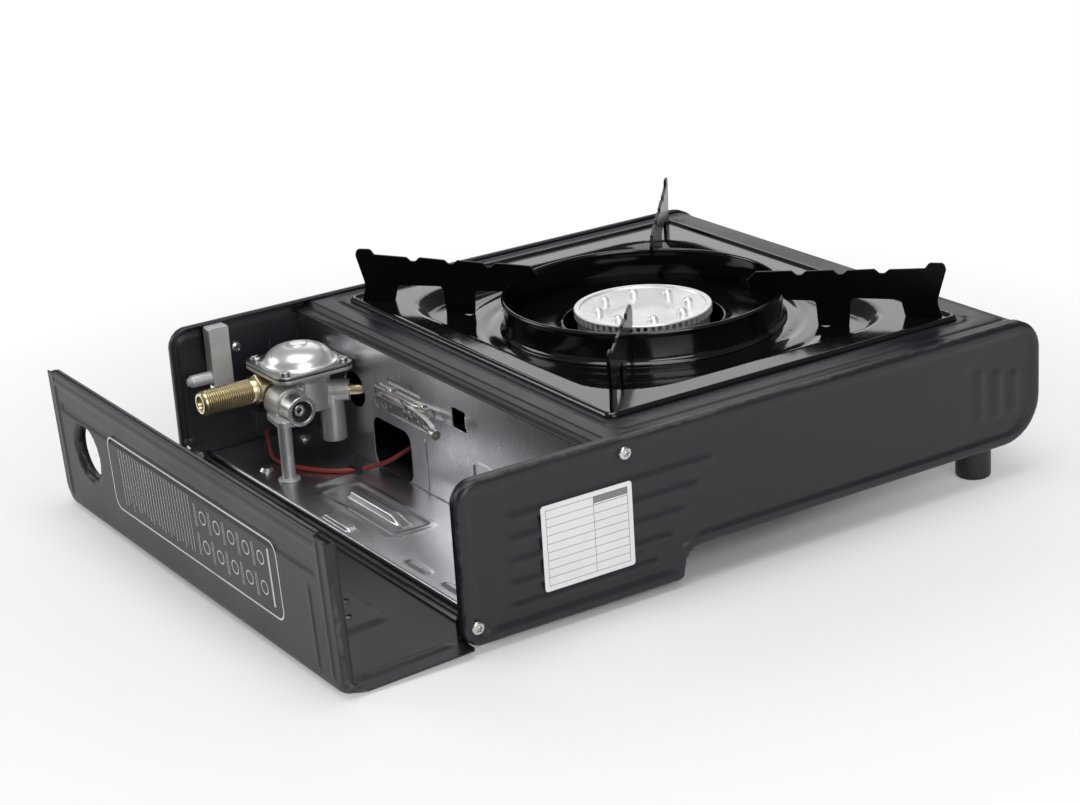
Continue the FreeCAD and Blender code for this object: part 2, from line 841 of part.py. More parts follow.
def make_wind_ring():
    top = recess_floor + ring_height
    return turned([
        (ring_radius - ring_sheet, recess_floor, 0),
        (ring_radius, recess_floor, 0),
        (ring_radius, top - 1.8, 0),
        (ring_radius + ring_roll, top - 0.9, 0),
        (ring_radius, top, 0),
        (ring_radius - ring_sheet, top, 0),
    ], burner_x, burner_y)


def support_outline():
    """The side view of one pan support, as distance from the burner and height."""
    ring_top = recess_floor + ring_height
    top_inner = tray_flat_top + support_rise - 3.8
    top_outer = tray_flat_top + support_rise
    slope = (top_outer - top_inner) / (support_outer - 10.0 - support_inner - 4.5)
    edge_start = support_inner + 4.5
    corners = [
        (support_outer - 19.5, tray_flat_top, 0),
        (support_outer - 2.0, tray_flat_top, 0),
        (support_outer - 4.2, tray_flat_top + 8.0, 9.0),
        (support_outer, tray_flat_top + support_rise - 0.5, 2.0),
        (support_outer - 1.0, tray_flat_top + support_rise + 2.8, 2.2),
        (support_outer - 8.0, tray_flat_top + support_rise + 2.8, 2.2),
        (support_outer - 10.0, top_outer, 1.0),
    ]
    for index in range(3):
        middle = support_outer - 30.5 - index * support_step
        height = top_inner + slope * (middle - edge_start)
        corners += [
            (middle + 3.5, height, 0),
            (middle + 1.2, height - support_notch_depth, 0),
            (middle - 1.2, height - support_notch_depth, 0),
            (middle - 3.5, height, 0),
        ]
    slot_out = ring_radius + ring_roll + fit
    slot_in = ring_radius - ring_sheet - fit
    corners += [
        (edge_start, top_inner, 1.0),
        (support_inner, top_inner - 4.5, 1.0),
        (support_inner + 2.0, ring_top - 1.2, 1.0),
        (slot_in, ring_top - 1.2, 0),
        (slot_in, ring_top, 0),
        (slot_out, ring_top, 0),
        (slot_out, ring_top - 1.2, 0),
        (support_outer - 77.0, ring_top - 3.8, 1.5),
        (support_outer - 62.5, ring_top - 3.8, 2.0),
        (support_outer - 61.5, recess_floor, 0),
        (support_outer - 46.5, recess_floor, 0),
        (support_outer - 45.5, ring_top - 2.0, 2.5),
        (support_outer - 21.5, ring_top - 2.0, 2.5),
    ]
    return corners


def make_pan_support(index):
    arm = plate(support_outline(), "y", -support_thickness / 2, support_thickness / 2)
    corner_angle = math.degrees(math.atan2(tray_width, tray_length))
    angles = (corner_angle, 180 - corner_angle, 180 + corner_angle, -corner_angle)
    arm.rotate(Vector(0, 0, 0), Vector(0, 0, 1), angles[index])
    arm.translate(Vector(burner_x, burner_y, 0))
    return arm


def make_burner_cap():
    """The slotted cap: a dished top with raised ports inside a ring of flame slots."""
    cap = turned([
        (0, cap_top - 4.3, 0),
        (13.0, cap_top - 4.3, 0),
        (28.0, cap_top - 1.3, 0),
        (30.8, cap_top - 0.2, 0),
        (cap_radius - 0.7, cap_top, 0),
        (cap_radius, cap_top - 0.7, 0),
        (cap_radius, cap_seat, 0),
        (27.0, cap_seat, 0),
        (13.0, cap_top - 5.8, 0),
        (0, cap_top - 5.8, 0),
    ], burner_x, burner_y)
    slots = []
    for index in range(cap_slot_count):
        slot = box(27.6, cap_radius + 1.0, -cap_slot_width / 2, cap_slot_width / 2,
                   cap_seat, cap_seat + cap_slot_height)
        slot.rotate(Vector(0, 0, 0), Vector(0, 0, 1), index * 360 / cap_slot_count)
        slot.translate(Vector(burner_x, burner_y, 0))
        slots.append(slot)
    cap = cap.cut(Part.makeCompound(slots))
    ports = []
    for index in range(cap_port_count):
        port = plate(rectangle(21.0, 0, 5.0, cap_port_radius, cap_port_radius), "z",
                     cap_top - 4.6, cap_top - 0.9)
        port.rotate(Vector(0, 0, 0), Vector(0, 0, 1), (index + 0.5) * 360 / cap_port_count)
        port.translate(Vector(burner_x, burner_y, 0))
        ports.append(port)
    return cap.fuse(ports)


def jet_line(start, end):
    """Two points on the line from the outlet of the regulator to the burner, and its direction."""
    origin = Vector(outlet_x + 1.5, outlet_y, tube_axis_z)
    aim = Vector(burner_x, burner_y, tube_axis_z) - origin
    aim.normalize()
    return origin + aim * start, origin + aim * end, aim


def tube_reach():
    start, _, _ = jet_line(0, 1)
    return start.distanceToPoint(Vector(burner_x, burner_y, tube_axis_z)) - head_neck_radius + head_wall


def make_burner_body():
    neck_in = head_neck_radius - head_wall
    head_in = head_radius - head_wall
    shoulder = head_bottom + 24.0
    body = turned([
        (0, head_bottom, 0),
        (head_neck_radius - 3.0, head_bottom, 0),
        (head_neck_radius, head_bottom + 3.0, 0),
        (head_neck_radius, shoulder, 0),
        (head_radius, shoulder + 8.0, 0),
        (head_radius, cap_seat, 0),
        (head_in - 1.5, cap_seat, 0),
        (head_in - 1.5, shoulder + 9.0, 0),
        (neck_in, shoulder + 1.0, 0),
        (neck_in, head_bottom + 4.0, 0),
        (0, head_bottom + 4.0, 0),
    ], burner_x, burner_y)
    start, end, _ = jet_line(60.0, tube_reach() + 1.0)
    body = body.cut(rod(tube_radius + fit, start, end))
    ex, ey = electrode_point()
    ear = box(-5.0, 4.0, -4.0, 4.0, 60.0, 63.0)
    ear.rotate(Vector(0, 0, 0), Vector(0, 0, 1), electrode_angle)
    ear.translate(Vector(ex, ey, 0))
    inside = rod(head_in, (burner_x, burner_y, 55.0), (burner_x, burner_y, 70.0))
    ear = ear.cut(inside)
    return body.fuse(ear).cut(rod(ceramic_radius + fit, (ex, ey, 55.0), (ex, ey, 68.0)))


def make_mixing_tube():
    start, _, aim = jet_line(22.0, 0)
    length = tube_reach() - 22.0
    bore = tube_radius - tube_wall
    profile = [
        (bore + 1.4, 0, 0),
        (tube_mouth_radius, 0, 0),
        (tube_mouth_radius, 4.0, 0),
        (tube_radius, 14.0, 0),
        (tube_radius, length, 0),
        (bore, length, 0),
        (bore, 14.0, 0),
        (bore + 1.4, 4.0, 0),
    ]
    tube = turned(profile, 0, 0)
    tube.Placement = FreeCAD.Placement(start, FreeCAD.Rotation(Vector(0, 0, 1), aim))
    return tube


def make_gas_jet():
    start, end, _ = jet_line(jet_boss_reach, jet_reach)
    jet = rod(jet_radius, start, end)
    return jet.cut(rod(0.8, start, end))


def make_burner_bracket():
    line = [
        (burner_x - 34.0, pan_burner_top + bracket_sheet, 0),
        (burner_x - 22.0, pan_burner_top + bracket_sheet, 2.0),
        (burner_x - 16.0, head_bottom, 2.0),
        (burner_x + 16.0, head_bottom, 2.0),
        (burner_x + 22.0, pan_burner_top + bracket_sheet, 2.0),
        (burner_x + 34.0, pan_burner_top + bracket_sheet, 0),
    ]
    half = bracket_width / 2
    return bent_sheet(line, -bracket_sheet, "y", burner_y - half, burner_y + half)


def electrode_point():
    angle = math.radians(electrode_angle)
    return (burner_x + electrode_distance * math.cos(angle),
            burner_y + electrode_distance * math.sin(angle))


def make_electrode_ceramic():
    x, y = electrode_point()
    ceramic = rod(ceramic_radius, (x, y, ceramic_low), (x, y, ceramic_high))
    return ceramic.cut(rod(electrode_wire_radius, (x, y, ceramic_high - 8.0), (x, y, ceramic_high)))


def make_electrode_wire():
    x, y = electrode_point()
    return rod(electrode_wire_radius, (x, y, ceramic_high - 8.0), (x, y, electrode_tip_z))


def make_piezo_igniter():
    body = plate(rectangle(piezo_x, piezo_y, 6.5, 6.0, 2.0), "z", piezo_low, housing_low)
    socket = rod(3.0, (piezo_x, piezo_y, piezo_low - piezo_socket), (piezo_x, piezo_y, piezo_low))
    return body.fuse(socket)


def lead_route():
    """The high-voltage lead: out of the igniter, over the bay floor, through the partition."""
    ex, ey = electrode_point()
    low = floor_top + lead_diameter / 2 + 0.3
    return [
        Vector(piezo_x, piezo_y, piezo_low - piezo_socket),
        Vector(piezo_x, piezo_y, low),
        Vector(piezo_x - 0.5, -93.0, low + 0.3),
        Vector(36.0, -78.5, low),
        Vector(25.5, -66.0, low - 0.3),
        Vector(12.5, -58.5, low + 0.6),
        Vector(8.0, -45.0, low + 7.0),
        Vector(-3.0, -36.5, low + 16.0),
        Vector(-22.0, -27.0, low + 24.5),
        Vector(ex, ey, low + 23.5),
        Vector(ex, ey, ceramic_low),
    ]


def rounded_route(points):
    """Straight runs joined by arcs as large as the shorter run at each point allows."""
    edges = []
    radii = []
    last = points[0]
    for before, corner, after in zip(points, points[1:], points[2:]):
        back = before - corner
        ahead = after - corner
        shorter = min(back.Length, ahead.Length)
        half = back.getAngle(ahead) / 2
        radius = 0.45 * shorter * math.tan(half)
        back.normalize()
        ahead.normalize()
        reach = 0.45 * shorter
        inward = (back + ahead).normalize()
        centre = corner + inward * (radius / math.sin(half))
        middle = centre - inward * radius
        edges.append(Part.LineSegment(last, corner + back * reach).toShape())
        edges.append(Part.Arc(corner + back * reach, middle, corner + ahead * reach).toShape())
        last = corner + ahead * reach
        radii.append(radius)
    edges.append(Part.LineSegment(last, points[-1]).toShape())
    return Part.Wire(edges), radii


def along_lead(radius):
    """A round bar of the given radius that follows the lead."""
    points = lead_route()
    path, _ = rounded_route(points)
    ring = Part.makeCircle(radius, points[0], points[1] - points[0])
    return path.makePipeShell([Part.Wire(ring)], True, False)


def make_ignition_lead():
    lead = along_lead(lead_diameter / 2)
    path, radii = rounded_route(lead_route())
    section = math.pi * lead_diameter ** 2 / 4
    print("lead radii", [round(radius, 1) for radius in radii])
    print("lead volume", round(lead.Volume, 2), "of", round(section * path.Length, 2))
    return lead


def make_lead_clip():
    """A small saddle on the bay floor that the lead passes under."""
    before, after = lead_route()[4:6]
    middle = (before + after) * 0.5
    passage_half = lead_diameter / 2 + 1.9
    clip_half = passage_half + 1.2
    clip = box(middle.x - 1.5, middle.x + 1.5, middle.y - clip_half, middle.y + clip_half,
               floor_top, floor_top + clip_height)
    return clip.cut(box(middle.x - 1.5, middle.x + 1.5, middle.y - passage_half, middle.y + passage_half,
                        floor_top, floor_top + clip_height - 1.0))


def make_regulator_body():
    """The cast housing: a cup with bosses for cartridge, hose, knob and burner, and a square flange."""
    cx, cy = regulator_x, regulator_y
    cup = rod(housing_radius, (cx, cy, housing_low), (cx, cy, flange_low))
    flange = plate(rectangle(cx, cy, flange_half, flange_half, flange_corner_radius), "z",
                   flange_low, flange_low + flange_height)
    neck = Part.makeCone(housing_radius, flange_half - 1.5, 4.5, Vector(cx, cy, flange_low - 4.5))
    nut_corner = nut_half_flats / math.cos(math.pi / 6)
    connector_boss = rod(connector_radius + 1.6, (cartridge_x, inlet_y + nut_corner + fit, cartridge_z),
                         (cartridge_x, connector_face_y - connector_length, cartridge_z))
    inlet_boss = rod(nut_half_flats + 0.8, (cx + 3.5, inlet_y, inlet_z), (nut_start_x, inlet_y, inlet_z))
    stem_boss = rod(stem_boss_radius, (cx, cy, cartridge_z), (cx, cy - stem_boss_reach, cartridge_z))
    outlet = rod(outlet_radius, (outlet_x, outlet_y, outlet_low),
                 (outlet_x, outlet_y, tube_axis_z + 2.0))
    boss_start, boss_end, _ = jet_line(-6.0, jet_boss_reach)
    jet_boss = rod(jet_boss_radius, boss_start, boss_end)
    lug_top = housing_low + 3.2
    lug = plate([
        (cartridge_x - 4.0, cy + 6.0, 0),
        (post_x + 2.0, cy + 6.0, 3.0),
        (post_x + post_radius + 0.8, post_y + post_radius + 0.4, 3.5),
        (post_x - post_radius - 1.5, post_y + post_radius + 0.4, 2.0),
    ], "z", housing_low, lug_top)
    casting = cup.fuse([flange, neck, connector_boss, inlet_boss, stem_boss, outlet, jet_boss, lug])
    socket_radius = connector_radius + fit
    casting = casting.cut(rod(socket_radius, (cartridge_x, connector_face_y - connector_length, cartridge_z),
                              (cartridge_x, connector_face_y + 5.0, cartridge_z)))
    shaft_bore_radius = shaft_radius + shaft_clearance
    bore_end = cy - stem_boss_reach
    casting = casting.cut(rod(shaft_bore_radius, (cx, bore_end + 8.0, cartridge_z),
                              (cx, bore_end, cartridge_z)))
    nut_end_x = nut_start_x + nut_length
    casting = casting.cut(rod(nut_corner + fit, (nut_start_x, inlet_y, inlet_z),
                              (nut_end_x, inlet_y, inlet_z)))
    chamber_radius = dome_radius - 2.0
    casting = casting.cut(rod(chamber_radius, (cx, cy, flange_low + 0.8), (cx, cy, flange_low + flange_height)))
    for x, y in dome_screw_points():
        casting = casting.cut(rod(dome_screw_radius / 2, (x, y, flange_low), (x, y, flange_low + flange_height)))
    return casting


def dome_screw_points():
    half = dome_screw_pitch / 2
    return [(regulator_x + a * half, regulator_y + b * half) for a in (-1, 1) for b in (-1, 1)]


def make_diaphragm():
    low = flange_low + flange_height
    skin = plate(rectangle(regulator_x, regulator_y, flange_half, flange_half, flange_corner_radius), "z",
                 low, low + diaphragm_height)
    for x, y in dome_screw_points():
        skin = skin.cut(rod(dome_screw_radius / 2, (x, y, low), (x, y, low + diaphragm_height)))
    return skin


def dome_profile(radius, base, rise):
    """Half of the crown's outline: steep at the foot and nearly flat under the button."""
    steps = ((1.0, 0.0), (0.965, 0.3), (0.88, 0.55), (0.72, 0.76), (0.5, 0.88))
    return [(radius * across, base + rise * up, 0) for across, up in steps]


def make_regulator_dome():
    """The pressed cover: a square flange, a domed crown and a flat button on top."""
    low = flange_low + flange_height + diaphragm_height
    cover = plate(rectangle(regulator_x, regulator_y, flange_half, flange_half, flange_corner_radius), "z",
                  low, low + dome_sheet)
    skirt = low + dome_sheet
    top = skirt + dome_rise
    crown = [(0, skirt, 0)] + dome_profile(dome_radius, skirt, dome_rise)
    crown += [(dome_button_radius, top - 0.9, 0), (dome_button_radius - 0.5, top, 0), (0, top, 0)]
    inner_radius = dome_radius - dome_sheet
    chamber_top = skirt + dome_rise * 0.74
    chamber = [(0, low, 0), (inner_radius, low, 0), (inner_radius, skirt, 0),
               (inner_radius * 0.6, chamber_top, 0), (0, chamber_top, 0)]
    cover = cover.fuse(turned(crown, regulator_x, regulator_y))
    cover = cover.cut(turned(chamber, regulator_x, regulator_y))
    for x, y in dome_screw_points():
        cover = cover.cut(rod(dome_screw_radius / 2, (x, y, low), (x, y, low + dome_sheet)))
    return cover


def make_dome_screws():
    low = flange_low
    seat = flange_low + flange_height + diaphragm_height + dome_sheet
    screws = []
    for x, y in dome_screw_points():
        shank = rod(dome_screw_radius / 2, (x, y, low), (x, y, seat))
        head = rod(dome_screw_radius, (x, y, seat), (x, y, seat + 1.9))
        cross = box(x - 1.6, x + 1.6, y - 0.3, y + 0.3, seat + 1.3, seat + 1.9)
        screws.append(head.cut(cross).fuse(shank))
    return Part.makeCompound(screws)


def make_regulator_spring():
    """The spring under the dome, drawn as the sleeve that its closed coils fill."""
    low = flange_low + flange_height + diaphragm_height
    high = low + dome_sheet + dome_rise * 0.7
    sleeve = rod(4.5, (regulator_x, regulator_y, low), (regulator_x, regulator_y, high))
    return sleeve.cut(rod(3.2, (regulator_x, regulator_y, low), (regulator_x, regulator_y, high)))


def make_cartridge_connector():
    """The socket that takes the valve of the cartridge: a collar round a hollow stem."""
    back = connector_face_y - connector_length
    collar = rod(connector_radius, (cartridge_x, back, cartridge_z),
                 (cartridge_x, connector_face_y, cartridge_z))
    well = rod(connector_bore, (cartridge_x, back + 4.0, cartridge_z),
               (cartridge_x, connector_face_y, cartridge_z))
    stem = rod(stem_radius, (cartridge_x, back + 4.0, cartridge_z),
               (cartridge_x, connector_face_y - 2.5, cartridge_z))
    bore = rod(stem_bore, (cartridge_x, back + 2.0, cartridge_z),
               (cartridge_x, connector_face_y, cartridge_z))
    return collar.cut(well).fuse(stem).cut(bore)


def make_connector_seal():
    low = connector_face_y - connector_length + 4.0
    seal = rod(connector_bore, (cartridge_x, low, cartridge_z), (cartridge_x, low + seal_height, cartridge_z))
    return seal.cut(rod(stem_radius, (cartridge_x, low, cartridge_z),
                        (cartridge_x, low + seal_height, cartridge_z)))


def make_lpg_nut():
    circle = nut_half_flats / math.cos(math.pi / 6)
    points = [Vector(nut_start_x, inlet_y + circle * math.cos(k * math.pi / 3),
                     inlet_z + circle * math.sin(k * math.pi / 3)) for k in range(7)]
    nut = Part.Face(Part.Wire(Part.makePolygon(points))).extrude(Vector(nut_length, 0, 0))
    return nut.cut(rod(inlet_bore, (nut_start_x, inlet_y, inlet_z), (nut_start_x + nut_length, inlet_y, inlet_z)))


def make_lpg_inlet():
    start = nut_start_x + nut_length
    pipe = rod(inlet_radius, (start, inlet_y, inlet_z), (inlet_tip_x, inlet_y, inlet_z))
    tip = [edge for edge in pipe.Edges if edge.BoundBox.XMin > inlet_tip_x - 1e-3]
    pipe = pipe.makeChamfer(0.8, tip)
    return pipe.cut(rod(inlet_bore, (start, inlet_y, inlet_z), (inlet_tip_x, inlet_y, inlet_z)))


def make_regulator_post():
    return turned([
        (0, floor_top, 0),
        (post_foot_radius, floor_top, 0),
        (post_foot_radius, floor_top + 1.0, 0),
        (post_radius, floor_top + 1.6, 0),
        (post_radius, housing_low, 0),
        (0, housing_low, 0),
    ], post_x, post_y)


def make_partition_bracket():
    """The plate behind the wide opening of the partition, with two curved lips in the bay."""
    back_x = partition_x - 1.0
    lip_x = partition_x + lip_reach
    web = plate(rectangle(wide_opening_y, wide_opening_z + 0.5, bracket_plate_length / 2,
                          bracket_plate_height / 2, 4.0), "x", back_x, partition_x)
    web = web.cut(rod(bracket_hole_radius, (back_x, bracket_hole_y, wide_opening_z),
                      (partition_x, bracket_hole_y, wide_opening_z)))
    lip = plate([
        (partition_x, lip_start_y, 0),
        (partition_x, lip_end_y, 0),
        (partition_x + lip_tip_reach, lip_end_y, 0.6),
        (lip_x, lip_bend_y, 12.0),
        (lip_x, lip_start_y, 0.6),
    ], "z", lip_z, lip_z + lip_sheet)
    low_lip = lip.copy()
    low_lip.translate(Vector(0, 0, -lip_pitch))
    return web.fuse([lip, low_lip])


def make_bracket_fasteners():
    """Two hollow rivets in the plate and two small screws on its upper lip."""
    pieces = []
    for y in rivet_places:
        outer = rod(rivet_radius, (partition_x, y, rivet_z), (partition_x + 1.8, y, rivet_z))
        pieces.append(outer.cut(rod(rivet_radius / 2, (partition_x, y, rivet_z),
                                    (partition_x + 1.8, y, rivet_z))))
    for y in lip_screw_places:
        seat = Vector(partition_x + lip_reach / 2, y, lip_z + lip_sheet)
        pieces.append(Part.makeCone(lip_screw_radius, lip_screw_radius * 0.7, 1.0, seat))
    return Part.makeCompound(pieces)


def make_lever_rivet():
    x, z = 41.4, 60.2
    return turned([(0, 0, 0), (3.0, 0, 0), (2.4, 1.3, 0), (1.2, 1.8, 0), (0, 1.8, 0)], 0, 0).transformed(
        FreeCAD.Placement(Vector(x, -field_inner_y, z),
                          FreeCAD.Rotation(Vector(0, 0, 1), Vector(0, 1, 0))).toMatrix())


def make_control_knob():
    x, z = regulator_x, cartridge_z
    face_y = knob_back_y - knob_depth
    skirt = rod(knob_radius, (x, knob_back_y, z), (x, face_y, z))
    front = [edge for edge in skirt.Edges if edge.BoundBox.YMax < face_y + 1e-3]
    skirt = skirt.makeChamfer(1.2, front)
    grip = plate(rectangle(x, z, grip_width / 2, knob_radius - 2.5, 3.0), "y", face_y - grip_height, face_y)
    ridge = box(x - 0.7, x + 0.7, face_y - grip_height - 0.5, face_y - grip_height,
                z + 4.0, z + knob_radius - 4.5)
    knob = skirt.fuse([grip, ridge])
    socket_depth = knob_depth - 1.0
    socket_radius = shaft_radius + fit
    return knob.cut(rod(socket_radius, (x, knob_back_y, z), (x, knob_back_y - socket_depth, z)))


def make_knob_shaft():
    x, z = regulator_x, cartridge_z
    inner_end = regulator_y - stem_boss_reach + 7.5
    outer_end = knob_back_y - knob_depth + 1.0
    shaft = rod(shaft_radius, (x, inner_end, z), (x, outer_end, z))
    cam_y = regulator_y - stem_boss_reach - 4.0
    cam = rod(7.0, (x, cam_y, z), (x, cam_y - 3.5, z))
    striker = box(x, x + 11.5, cam_y - 3.5, cam_y, z - 3.0, z)
    return shaft.fuse([cam, striker])


def make_lock_lever():
    """The latch inside the bay: an upright bar, a round-ended arm and a neck through the slot."""
    outer_y = lever_inner_y - lever_depth
    half = lever_width / 2
    bar = plate(rectangle(lever_x, (lever_low + lever_high) / 2, half,
                          (lever_high - lever_low) / 2, 1.2), "y", outer_y, lever_inner_y)
    middle_y = (outer_y + lever_inner_y) / 2
    tip = lever_x + half + lever_arm_reach
    arm = rod(lever_arm_radius, (lever_x, middle_y, lever_arm_z), (tip, middle_y, lever_arm_z))
    nose = Part.makeCone(lever_arm_radius, lever_arm_radius * 0.5, lever_arm_radius * 0.8,
                         Vector(tip, middle_y, lever_arm_z), Vector(1, 0, 0))
    neck = plate(rectangle(lever_x, (lever_neck_low + lever_neck_high) / 2, lever_neck_width / 2,
                           (lever_neck_high - lever_neck_low) / 2, lever_neck_width / 2 - 0.01),
                 "y", knob_back_y - 1.0, outer_y)
    return bar.fuse([arm, nose, neck])


def make_lever_handle():
    near_y = knob_back_y - 1.0
    low = (lever_neck_low + lever_neck_high - handle_height) / 2
    side = [
        (near_y, low, 1.0),
        (near_y - handle_depth, low + 2.0, 2.0),
        (near_y - handle_depth, low + 7.0, 2.0),
        (near_y - 5.0, low + handle_height, 3.0),
        (near_y, low + handle_height, 1.0),
    ]
    return plate(side, "x", lever_x - handle_width / 2, lever_x + handle_width / 2)


def make_cartridge_carrier():
    """The slide under the bay floor that draws the cartridge onto the connector."""
    low = pan_bay_top + carrier_gap
    half = carrier_width / 2
    line = [
        (carrier_front_y, low, 0),
        (carrier_stop_y + carrier_sheet, low, 2.0),
        (carrier_stop_y + carrier_sheet, carrier_stop_top, 0),
    ]
    carrier = bent_sheet(line, carrier_sheet, "x", cartridge_x - half, cartridge_x + half)
    guide = box(cartridge_x - 7.5, cartridge_x - 1.5, 4.5, 6.0, low, floor_top - 0.3)
    return carrier.fuse(guide)


makers = {
    "back_panel": make_back_panel,
    "front_panel": make_front_panel,
    "top_plate": make_top_plate,
    "base_pan": make_base_pan,
    "partition_wall": make_partition_wall,
    "bay_floor": make_bay_floor,
    "floor_screws": make_floor_screws,
    "foot_posts": make_foot_posts,
    "bay_pads": make_bay_pads,
    "panel_screws": make_panel_screws,
    "rating_sticker": make_rating_sticker,
    "hinge_screws": make_hinge_screws,
    "cartridge_lid": make_cartridge_lid,
    "drip_tray": make_drip_tray,
    "wind_ring": make_wind_ring,
    "burner_cap": make_burner_cap,
    "burner_body": make_burner_body,
    "mixing_tube": make_mixing_tube,
    "gas_jet": make_gas_jet,
    "burner_bracket": make_burner_bracket,
    "electrode_ceramic": make_electrode_ceramic,
    "electrode_wire": make_electrode_wire,
    "piezo_igniter": make_piezo_igniter,
    "ignition_lead": make_ignition_lead,
    "lead_clip": make_lead_clip,
    "regulator_body": make_regulator_body,
    "diaphragm": make_diaphragm,
    "regulator_dome": make_regulator_dome,
    "dome_screws": make_dome_screws,
    "regulator_spring": make_regulator_spring,
    "cartridge_connector": make_cartridge_connector,
    "connector_seal": make_connector_seal,
    "lpg_nut": make_lpg_nut,
    "lpg_inlet": make_lpg_inlet,
    "regulator_post": make_regulator_post,
    "partition_bracket": make_partition_bracket,
    "bracket_fasteners": make_bracket_fasteners,
    "lever_rivet": make_lever_rivet,
    "control_knob": make_control_knob,
    "knob_shaft": make_knob_shaft,
    "lock_lever": make_lock_lever,
    "lever_handle": make_lever_handle,
    "cartridge_carrier": make_cartridge_carrier,
}


def main():
    os.makedirs("parts", exist_ok=True)
    shapes = {name: make() for name, make in makers.items()}
    for index in range(4):
        shapes["pan_support_%d" % (index + 1)] = make_pan_support(index)
    whole = Part.makeCompound(list(shapes.values()))
    bounds = whole.optimalBoundingBox(False, False)
    # The part's origin is the middle of the ground that it covers.
    centre = Vector(-bounds.Center.x, -bounds.Center.y, 0)
    print("shift", round(centre.x, 4), round(centre.y, 4), "low", round(bounds.ZMin, 4))
    for name, shape in shapes.items():
        shape.translate(centre)
        shape.exportStep("parts/%s.step" % name)


main()
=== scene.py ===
import json
import math
import random

import bmesh
import bpy
from mathutils import Matrix, Vector


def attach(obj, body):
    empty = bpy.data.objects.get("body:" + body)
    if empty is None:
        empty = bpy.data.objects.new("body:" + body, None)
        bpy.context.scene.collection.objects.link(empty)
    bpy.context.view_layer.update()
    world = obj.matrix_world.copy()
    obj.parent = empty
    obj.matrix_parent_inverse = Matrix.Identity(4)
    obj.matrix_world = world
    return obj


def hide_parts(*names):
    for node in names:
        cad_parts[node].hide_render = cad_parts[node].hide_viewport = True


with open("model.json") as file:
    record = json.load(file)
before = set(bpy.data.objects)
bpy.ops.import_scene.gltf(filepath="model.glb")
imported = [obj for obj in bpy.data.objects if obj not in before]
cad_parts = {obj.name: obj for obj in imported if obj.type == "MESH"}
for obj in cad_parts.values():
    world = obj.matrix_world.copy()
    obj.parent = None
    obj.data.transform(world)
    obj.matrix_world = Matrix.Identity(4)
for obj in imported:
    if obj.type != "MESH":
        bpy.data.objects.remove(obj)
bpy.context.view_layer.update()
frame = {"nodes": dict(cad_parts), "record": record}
print("frame loaded, nodes:", len(frame["nodes"]))
random.seed(7)

# Pieces are drawn in millimetres from the joint of the two sections, then set in the part's frame.
drawnAt = Vector((52.0229, 7.85, 0.0))
toPart = Matrix.Scale(0.001, 4) @ Matrix.Translation(drawnAt)
quarter = math.pi / 2
camera = {
    "spot": (0.597189, 0.974360, 0.451835),
    "right": (-0.83742, 0.54308, -0.06158),
    "up": (-0.23284, -0.25253, 0.93916),
    "ahead": (-0.49449, -0.80081, -0.33792),
    "lens": 83.538,
}


def addObject(name, data):
    item = bpy.data.objects.new(name, data)
    bpy.context.scene.collection.objects.link(item)
    return item


def setOrLink(tree, socket, value):
    if isinstance(value, (int, float)):
        socket.default_value = value
    elif isinstance(value, tuple):
        socket.default_value = (*value, 1)
    else:
        tree.links.new(value, socket)


def addMath(tree, operation, first, second=None):
    node = tree.nodes.new("ShaderNodeMath")
    node.operation = operation
    setOrLink(tree, node.inputs[0], first)
    if second is not None:
        setOrLink(tree, node.inputs[1], second)
    return node.outputs[0]


def addNoise(tree, vector, scale, detail=3.0, roughness=0.55):
    node = tree.nodes.new("ShaderNodeTexNoise")
    node.inputs["Detail"].default_value = detail
    node.inputs["Roughness"].default_value = roughness
    tree.links.new(vector, node.inputs["Vector"])
    setOrLink(tree, node.inputs["Scale"], scale)
    return node.outputs["Fac"]


def addRange(tree, value, low, high, toLow=0.0, toHigh=1.0):
    node = tree.nodes.new("ShaderNodeMapRange")
    for label, number in (("From Min", low), ("From Max", high), ("To Min", toLow), ("To Max", toHigh)):
        node.inputs[label].default_value = number
    tree.links.new(value, node.inputs["Value"])
    return node.outputs[0]


def addCamera():
    data = bpy.data.cameras.new("photoCamera")
    data.sensor_width = 36.0
    data.lens = camera["lens"]
    data.clip_start = 0.01
    data.clip_end = 50.0
    item = addObject("photoCamera", data)
    turn = Matrix((camera["right"], camera["up"], -Vector(camera["ahead"]))).transposed().to_4x4()
    item.matrix_world = Matrix.Translation(camera["spot"]) @ turn
    bpy.context.scene.camera = item


addCamera()
print("camera placed")

studio = {
    "worldStrength": 0.15,
    "aimHeight": 0.04,
    "floorColor": (0.93, 0.93, 0.93),
    "floorRoughness": 0.7,
    "floorSpecular": 0.15,
    "floorSize": 8.0,
    "floorDrop": 0.0003,
    "whiteFrom": 0.13,   # metres from the middle of the object
    "whiteAt": 0.42,
    # name, spot, size, watts
    "lamps": (
        ("topSoftbox", (0.1, 0.1, 1.6), 1.2, 14.5),
        ("keySoftbox", (1.25, -1.35, 0.9), 0.9, 9.0),
        ("fillSoftbox", (0.35, 1.9, 0.95), 1.2, 19.0),
        ("backSoftbox", (-1.6, -2.4, 1.15), 1.6, 9.0),
    ),
}


def addWorld():
    world = bpy.data.worlds.new("studioWorld")
    bpy.context.scene.world = world
    world.use_nodes = True
    shade = world.node_tree.nodes["Background"]
    shade.inputs["Color"].default_value = (1, 1, 1, 1)
    shade.inputs["Strength"].default_value = studio["worldStrength"]


def addLamps():
    for name, spot, size, power in studio["lamps"]:
        data = bpy.data.lights.new(name, "AREA")
        data.shape = "SQUARE"
        data.size = size
        data.energy = power
        lamp = addObject(name, data)
        lamp.location = spot
        aim = Vector((0, 0, studio["aimHeight"])) - Vector(spot)
        lamp.rotation_euler = aim.to_track_quat("-Z", "Y").to_euler()


